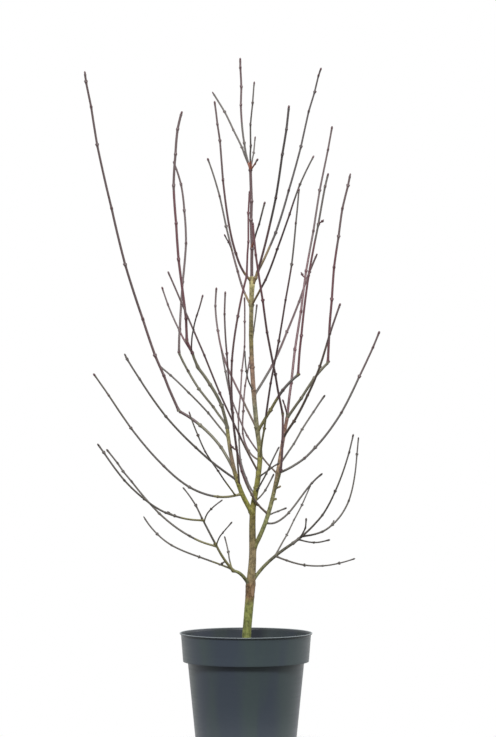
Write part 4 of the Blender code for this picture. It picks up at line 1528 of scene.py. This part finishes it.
@dataclass
class ShootMass:
    """One mass of shoots, in place of its solid."""

    mass: Mass
    grown: dict
    sides: int = 10
    grain: float = 0.16
    grain_size: float = 2.2
    spur_chance: float = 0.06
    spur_length: tuple = (6.0, 13.0)
    spur_girth: float = 2.0
    spur_heading: tuple = (0.75, 0.5)
    spur_bend: float = 2.5
    spur_rings: int = 9

    def build(self, buds: BudBank) -> None:
        """Builds the mass and sets its buds.

        Args:
            buds: The bank that its buds go into.
        """
        tone = int(self.mass.slot is Slot.GREY)
        lines = []
        for limb in self.mass.limbs:
            shoot = self.grown[limb.name]
            buds.dress(limb.name, limb.girth[0], shoot, tone)
            marks = sum((shoot.shares > share).astype(float) for share in limb.bands)
            lines.append((shoot, marks))
            lines += self.spurs(limb.name, shoot, marks, buds) if tone else []
        points = np.concatenate([shoot.path for shoot, marks in lines]) * MM
        ends = set(np.cumsum([len(marks) for shoot, marks in lines]))
        mesh = bpy.data.meshes.new(self.mass.name + "_lines")
        mesh.from_pydata(points.tolist(), [(n - 1, n) for n in range(1, len(points)) if n not in ends], [])
        write_rows(mesh, "girth", np.concatenate([shoot.radii for shoot, marks in lines]) * MM)
        write_rows(mesh, "band", np.concatenate([marks for shoot, marks in lines]))
        values = {"Sides": self.sides, "Grain": self.grain * MM, "Grain Size": self.grain_size * MM}
        barks = zip(("Old Bark", "Young Bark", "Tip Bark"), (bark.material() for bark in self.mass.barks))
        piece = ShootRecipe().apply(mesh, "shoots_" + self.mass.name, {**values, **dict(barks)})
        place_piece(piece, ("twigs_" + self.mass.name,))

    def spurs(self, name: str, shoot: Grown, marks: np.ndarray, buds: BudBank) -> list:
        """Grows a short spur from a few of an old shoot's nodes.

        Args:
            name: The shoot's name, from which the spurs are drawn.
            shoot: The shoot.
            marks: The band at each of its points.
            buds: The bank that the spurs' buds go into.

        Returns:
            Each spur with its bands.
        """
        draw = random.Random(name + "_spurs")
        along, side, front = carriage(shoot.path)
        run = np.linspace(0.0, 1.0, self.spur_rings)
        outward, onward = self.spur_heading
        made = []
        for n in shoot.nodes[:-1]:
            if draw.random() > self.spur_chance:
                continue
            angle = draw.uniform(0.0, 2 * math.pi)
            out = side[n] * math.cos(angle) + front[n] * math.sin(angle)
            heading = out * outward + along[n] * onward
            path = shoot.path[n] + heading * run[:, None] * draw.uniform(*self.spur_length)
            radii = (0.95 - 0.2 * run) * (1 + 0.35 * np.exp(-run * 5))
            radii[-1] *= 0.55
            spur = Grown(path + along[n] * run[:, None] ** 2 * self.spur_bend, radii, run, [])
            buds.dress(f"{name}_spur_{n}", self.spur_girth, spur, 1)
            made.append((spur, np.full(len(run), marks[n])))
        return made


@dataclass
class Tree:
    """The whole tree: the rule's limbs, their carriers, and the pieces made from them."""

    rule: GrowthRule = field(default_factory=GrowthRule)
    grown: dict = field(default_factory=dict)

    def grow(self) -> None:
        """Grows every limb, carriers first."""
        self.grown["trunk"] = self.rule.trunk()
        for limb in (*BOUGHS, *STUBS, *(limb for mass in MASSES for limb in mass.limbs)):
            self.grown[limb.name] = self.rule.limb(limb, self.grown[limb.on], limb in BOUGHS)
        LOG.info("grew %d limbs", len(self.grown))

    def build(self) -> None:
        """Builds the trunk, the boughs, the masses and the buds."""
        barks = {"bough_left": LEFT_BARK, "bough_right": RIGHT_BARK}
        limbs = (*BOUGHS, *(limb for mass in MASSES for limb in mass.limbs))
        for n, name in enumerate(("trunk", *(bough.name for bough in BOUGHS))):
            shoots, stubs = (
                [self.grown[row.name] for row in rows if row.on == name] for rows in (limbs, STUBS)
            )
            parts = (self.grown[name], shoots, stubs)
            if n:
                OldWood(name, Slot.BOUGH, barks.get(name, LOW_BARK), *parts, seed=10 + n).build()
            else:
                Trunk(name, Slot.TRUNK, TRUNK_BARK, *parts).build()
        buds = BudBank()
        for mass in MASSES:
            ShootMass(mass, self.grown).build(buds)
        buds.build()


# Pot and compost


def turned(profile: list, steps: int, is_closed: bool = True) -> tuple[np.ndarray, list]:
    """Spins a profile round the Z axis.

    Args:
        profile: (radius, height) pairs. Seen from +Y with radius to the right, they run clockwise
            round the solid, so that the faces point outwards.
        steps: How many steps a full turn has.
        is_closed: Whether the first and the last pair are poles on the axis.

    Returns:
        The points and the faces.
    """
    rows = np.array(profile[1:-1] if is_closed else profile)
    angles = np.linspace(0, 2 * math.pi, steps, endpoint=False)
    spokes = np.stack([np.cos(angles), np.sin(angles), 0 * angles], axis=1)
    grid = rows[:, None, :1] * spokes + rows[:, None, 1:] * (0, 0, 1)
    return skin(grid, [(0, 0, profile[0][1]), (0, 0, profile[-1][1])] if is_closed else None)


def rounded(corners: list, steps: int = 5) -> list:
    """Rounds a profile's corners.

    Args:
        corners: (radius, height, rounding) triples, where rounding is how far from the corner the
            curve starts. A rounding of 0 keeps the corner.
        steps: How many points each curve has.

    Returns:
        (radius, height) pairs.
    """
    out = []
    for n, (*here, bend) in enumerate(corners):
        if not bend:
            out.append(tuple(here))
            continue
        arms = [np.array(corners[k][:2]) - here for k in (n - 1, n + 1)]
        start, end = (here + unit(arm) * min(bend, 0.45 * np.linalg.norm(arm)) for arm in arms)
        for t in np.linspace(0, 1, steps):
            out.append(tuple((1 - t) ** 2 * start + 2 * t * (1 - t) * np.array(here) + t**2 * end))
    return out


@dataclass
class NurseryPot:
    """The pot: one thin moulded shell with a collar, a rolled lip, a raised floor and drain holes."""

    height: float = 200.0
    lip_radius: float = 112.8
    collar_top: float = 110.6
    collar_foot: float = 107.2
    collar_height: float = 46.3
    body_top: float = 99.0
    base_radius: float = 84.0
    wall: float = 1.8
    lip_drop: float = 2.4
    foot_inside: float = 76.0
    floor_rise: float = 1.0
    drain_holes: int = 8
    drain_radius: float = 5.5
    drain_circle: float = 66.0
    drain_cut: tuple = (-4.0, 7.0)
    drain_steps: int = 28
    steps: int = 168
    sharp: float = 38.0

    def ledge(self) -> float:
        """Works out how high the collar's ledge is."""
        return self.height - self.collar_height - self.lip_drop

    def outline(self) -> list:
        """Lists the whole section, from the middle of the underside, up the outside and down inside.

        Returns:
            (radius, height) pairs.
        """
        top, ledge, lip, wall = self.height, self.ledge(), self.lip_radius, self.wall
        base, body, foot, rim = self.base_radius, self.body_top, self.collar_foot, self.collar_top
        brow = top - self.lip_drop
        outside = [
            (0, self.floor_rise, 0), (self.foot_inside, self.floor_rise, 0.8),
            (self.foot_inside + 0.9, 0, 0.3), (base - 0.6, 0, 2.6), (base + 0.5, 5, 0),
            (body - 0.1, ledge - 2.4, 0), (body, ledge + 0.6, 0.8),
            (foot - 1.6, ledge + 0.2, 0.5), (foot - 0.3, ledge - 0.4, 0.7), (foot, ledge + 2.4, 1.2),
            (rim, brow - 0.5, 0.3), (lip - 0.3, brow + 0.3, 0.3), (lip, top - 1.5, 0.4), (lip, top, 1.5),
        ]
        inside = [
            (lip + 0.2, top, 0.3), (lip - 0.4, top - 0.7, 0.4), (rim, brow - 1.2, 1.4),
            (foot, ledge + wall + 2.6, 1.6), (body + 0.8, ledge + wall, 1.2), (body, ledge - 2.4, 0),
            (base + 0.3, wall + 4, 2), (base - 3, wall, 1), (wall, wall, 0),
        ]
        return rounded(outside + [(radius - wall, height, bend) for radius, height, bend in inside])

    def build(self) -> None:
        """Builds the pot, with its drain holes cut, and sets it in place of its solid."""
        shell, cutters = Shell("nursery_pot_shell", (SLATE,)), Shell("drain_cutters", (SLATE,))
        shell.add(*turned(self.outline(), self.steps))
        low, high = self.drain_cut
        for n in range(self.drain_holes):
            turn = 2 * math.pi * (n + 0.5) / self.drain_holes
            plug = [(0, low), (self.drain_radius, low), (self.drain_radius, high), (0, high)]
            ring, sides = turned(plug, self.drain_steps)
            cutters.add(ring + np.array([math.cos(turn), math.sin(turn), 0]) * self.drain_circle, sides)
        blank, cutter = shell.made(), cutters.made()
        drain = blank.modifiers.new("drain", "BOOLEAN")
        drain.operation, drain.solver, drain.object = "DIFFERENCE", "EXACT", cutter
        mesh = evaluated(blank, "nursery_pot")
        bpy.data.objects.remove(cutter)
        mesh.materials.append(SHADED_INSIDE.material())
        # Faces turned towards the axis take the darker copy, painted shade inside the pot.
        for face in mesh.polygons:
            if face.normal.xy.dot(face.center.xy) < -0.3 * face.center.xy.length:
                face.material_index = 1
        mesh.shade_smooth()
        mesh.set_sharp_from_angle(angle=math.radians(self.sharp))
        place_piece(link(bpy.data.objects.new("nursery_pot", mesh)), ("pot",))


@dataclass(frozen=True)
class Strewing:
    """A layer of loose bark: the radii that it lies between, the faces that it is dealt over, its
    chips to the square metre, their shortest and longest, their thickness for a length of 1, how far
    they tilt in radians, and the seed of their lie."""

    name: str
    reach: tuple
    grid: float
    density: float
    size: tuple
    thinness: float
    tilt: float
    seed: int


@dataclass
class Compost:
    """The compost: a crumbly fill up to the trunk's foot, strewn with bark."""

    top: float = 168.0
    fall: float = 4.0
    edge: float = 105.0
    clearance: float = 0.3
    lump: float = 0.9
    steps: int = 200
    rings: int = 62
    bed_steps: int = 96
    sharp: float = 75.0
    layers: tuple = (
        Strewing("bark_chips", (16, 97), 5, 21000.0, (4, 11), 0.2, 0.5, 7),
        Strewing("bark_crumbs", (13, 102), 4, 90000.0, (1.2, 3.4), 0.5, 1.2, 8),
    )

    def surface(self, points: np.ndarray) -> np.ndarray:
        """Works out the height of the top.

        Args:
            points: The points to work it out at.

        Returns:
            The heights there.
        """
        flat = points * (1, 1, 0)
        share = np.hypot(points[:, 0], points[:, 1]) / self.edge
        lumps = unevenness(flat / (9.0, 9.0, 1.0), 41) * 0.7 + unevenness(flat / (3.1, 3.1, 1.0), 42) * 0.3
        return self.top - self.fall * share**2 + self.lump * lumps * np.clip((1 - share) / 0.05, 0, 1)

    def build(self, pot: NurseryPot) -> None:
        """Builds the fill and what lies on it.

        Args:
            pot: The pot that holds it.
        """
        ledge, floor = pot.ledge(), pot.wall + self.clearance
        base, body, foot = (r - pot.wall for r in (pot.base_radius, pot.body_top, pot.collar_foot))
        sides = [
            (0, floor), (base - 4.6, floor), (base - 0.9, pot.wall + 5), (body - 0.9, ledge - 4.4),
            (body - 0.6, ledge), (foot - 1.4, ledge + pot.wall + 4.6), (self.edge, self.top - self.fall - 4),
        ]
        profile = sides + [(r, self.top) for r in np.linspace(self.edge, 0, self.rings + 1)]
        points, faces = turned(profile, self.steps)
        upper = np.arange(len(points)) >= (len(sides) - 1) * self.steps
        upper[-2] = False
        points[upper, 2] = self.surface(points[upper])
        shell = Shell("compost_fill", (PEAT,))
        shell.add(points, faces)
        place_piece(shell.made(self.sharp), ("compost",))
        for layer in self.layers:
            self.strew(layer)

    def strew(self, layer: Strewing) -> None:
        """Strews a layer of chips over the top.

        Args:
            layer: The layer.
        """
        low, high = layer.reach
        profile = [(r, self.top) for r in np.linspace(high, low, max(2, round((high - low) / layer.grid)))]
        points, faces = turned(profile, self.bed_steps, False)
        points[:, 2] = self.surface(points) + layer.size[1] * layer.thinness * 0.3
        mesh = bpy.data.meshes.new(layer.name + "_bed")
        mesh.from_pydata((points * MM).tolist(), [], faces)
        chips = zip(("First Chip", "Second Chip", "Third Chip"), (chip.material() for chip in CHIPS))
        place_piece(ChipRecipe().apply(mesh, layer.name, {
            "Density": layer.density, "Smallest": layer.size[0] * MM, "Largest": layer.size[1] * MM,
            "Thinness": layer.thinness, "Tilt": layer.tilt, "Seed": layer.seed, **dict(chips),
        }))


# Studio


@dataclass
class Studio:
    """A white studio, in metres: floor, soft lights and a level camera."""

    camera_at: tuple = (0.0034, -5.57, 0.649)
    frame_height: float = 1.253
    sensor: float = 36.0
    clip: tuple = (0.05, 100.0)
    floor_radius: float = 0.4
    floor_steps: int = 96
    sky_levels: tuple = (0.2, 1.0)
    sky_band: tuple = (-0.6, 0.5)
    sky_tilt: tuple = (0.0, 0.62, 0.78)
    aim: tuple = (0.0, 0.0, 0.6)
    lamps: tuple = (
        ("key_softbox", (-0.25, -2.9, 3.1), 0.8, 150.0),
        ("side_softbox", (2.8, 0.4, 1.8), 1.5, 20.0),
    )

    def build(self) -> None:
        """Sets up the camera, the floor, the sky and the lamps."""
        self.camera()
        self.floor()
        self.sky()
        for lamp in self.lamps:
            self.lamp(*lamp)
        bpy.context.scene.view_settings.view_transform = "Standard"

    def camera(self) -> None:
        """Makes the camera, level and square to the plant."""
        data = bpy.data.cameras.new("studio_camera")
        data.sensor_width = self.sensor
        data.lens = self.sensor * abs(self.camera_at[1]) / self.frame_height
        data.clip_start, data.clip_end = self.clip
        camera = link(bpy.data.objects.new("studio_camera", data))
        camera.location, camera.rotation_euler = self.camera_at, (math.pi / 2, 0, 0)
        bpy.context.scene.camera = camera

    def floor(self) -> None:
        """Lays the floor card."""
        turns = np.linspace(0, 2 * math.pi, self.floor_steps, endpoint=False)
        rim = np.stack([np.cos(turns), np.sin(turns), 0 * turns], axis=1) * self.floor_radius
        mesh = bpy.data.meshes.new("studio_floor")
        mesh.from_pydata(rim.tolist(), [], [tuple(range(len(rim)))])
        mesh.materials.append(FLOOR_CARD.material())
        link(bpy.data.objects.new("studio_floor", mesh))

    def sky(self) -> None:
        """Makes the white surround, dimmer on the camera's side as in a studio."""
        world = bpy.data.worlds.new("studio_surround")
        world.use_nodes = True
        bpy.context.scene.world = world
        tree = world.node_tree
        tree.nodes.clear()
        heading = add_node(tree, "ShaderNodeTexCoord").outputs["Generated"]
        tilt = {"operation": "DOT_PRODUCT", 0: heading, 1: self.sky_tilt}
        lift = add_node(tree, "ShaderNodeVectorMath", tilt)
        level = Look(tree, None, heading).remap(lift.outputs["Value"], *self.sky_band, *self.sky_levels)
        seen, lit = (
            add_node(tree, "ShaderNodeBackground", {"Color": linear("#ffffff"), "Strength": strength})
            for strength in (1.0, level)
        )
        is_seen = add_node(tree, "ShaderNodeLightPath").outputs["Is Camera Ray"]
        mixed = add_node(tree, "ShaderNodeMixShader", {0: is_seen, 1: lit, 2: seen})
        add_node(tree, "ShaderNodeOutputWorld", {"Surface": mixed})

    def lamp(self, name: str, place: tuple, size: float, power: float) -> None:
        """Hangs a softbox that faces the plant.

        Args:
            name: Its name.
            place: Where it hangs.
            size: The width of its face.
            power: Its power in watts.
        """
        data = bpy.data.lights.new(name, "AREA")
        data.shape, data.size, data.energy = "SQUARE", size, power
        lamp = link(bpy.data.objects.new(name, data))
        lamp.location = place
        lamp.rotation_euler = (Vector(self.aim) - Vector(place)).to_track_quat("-Z", "Y").to_euler()


def main() -> None:
    """Loads the frame and builds the plant and the studio."""
    logging.basicConfig(level=logging.INFO, format="%(name)s: %(message)s")
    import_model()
    pot = NurseryPot()
    pot.build()
    Compost().build(pot)
    tree = Tree()
    tree.grow()
    tree.build()
    Studio().build()
    bpy.context.view_layer.update()
    LOG.info("done")


if __name__ == "__main__":
    main()
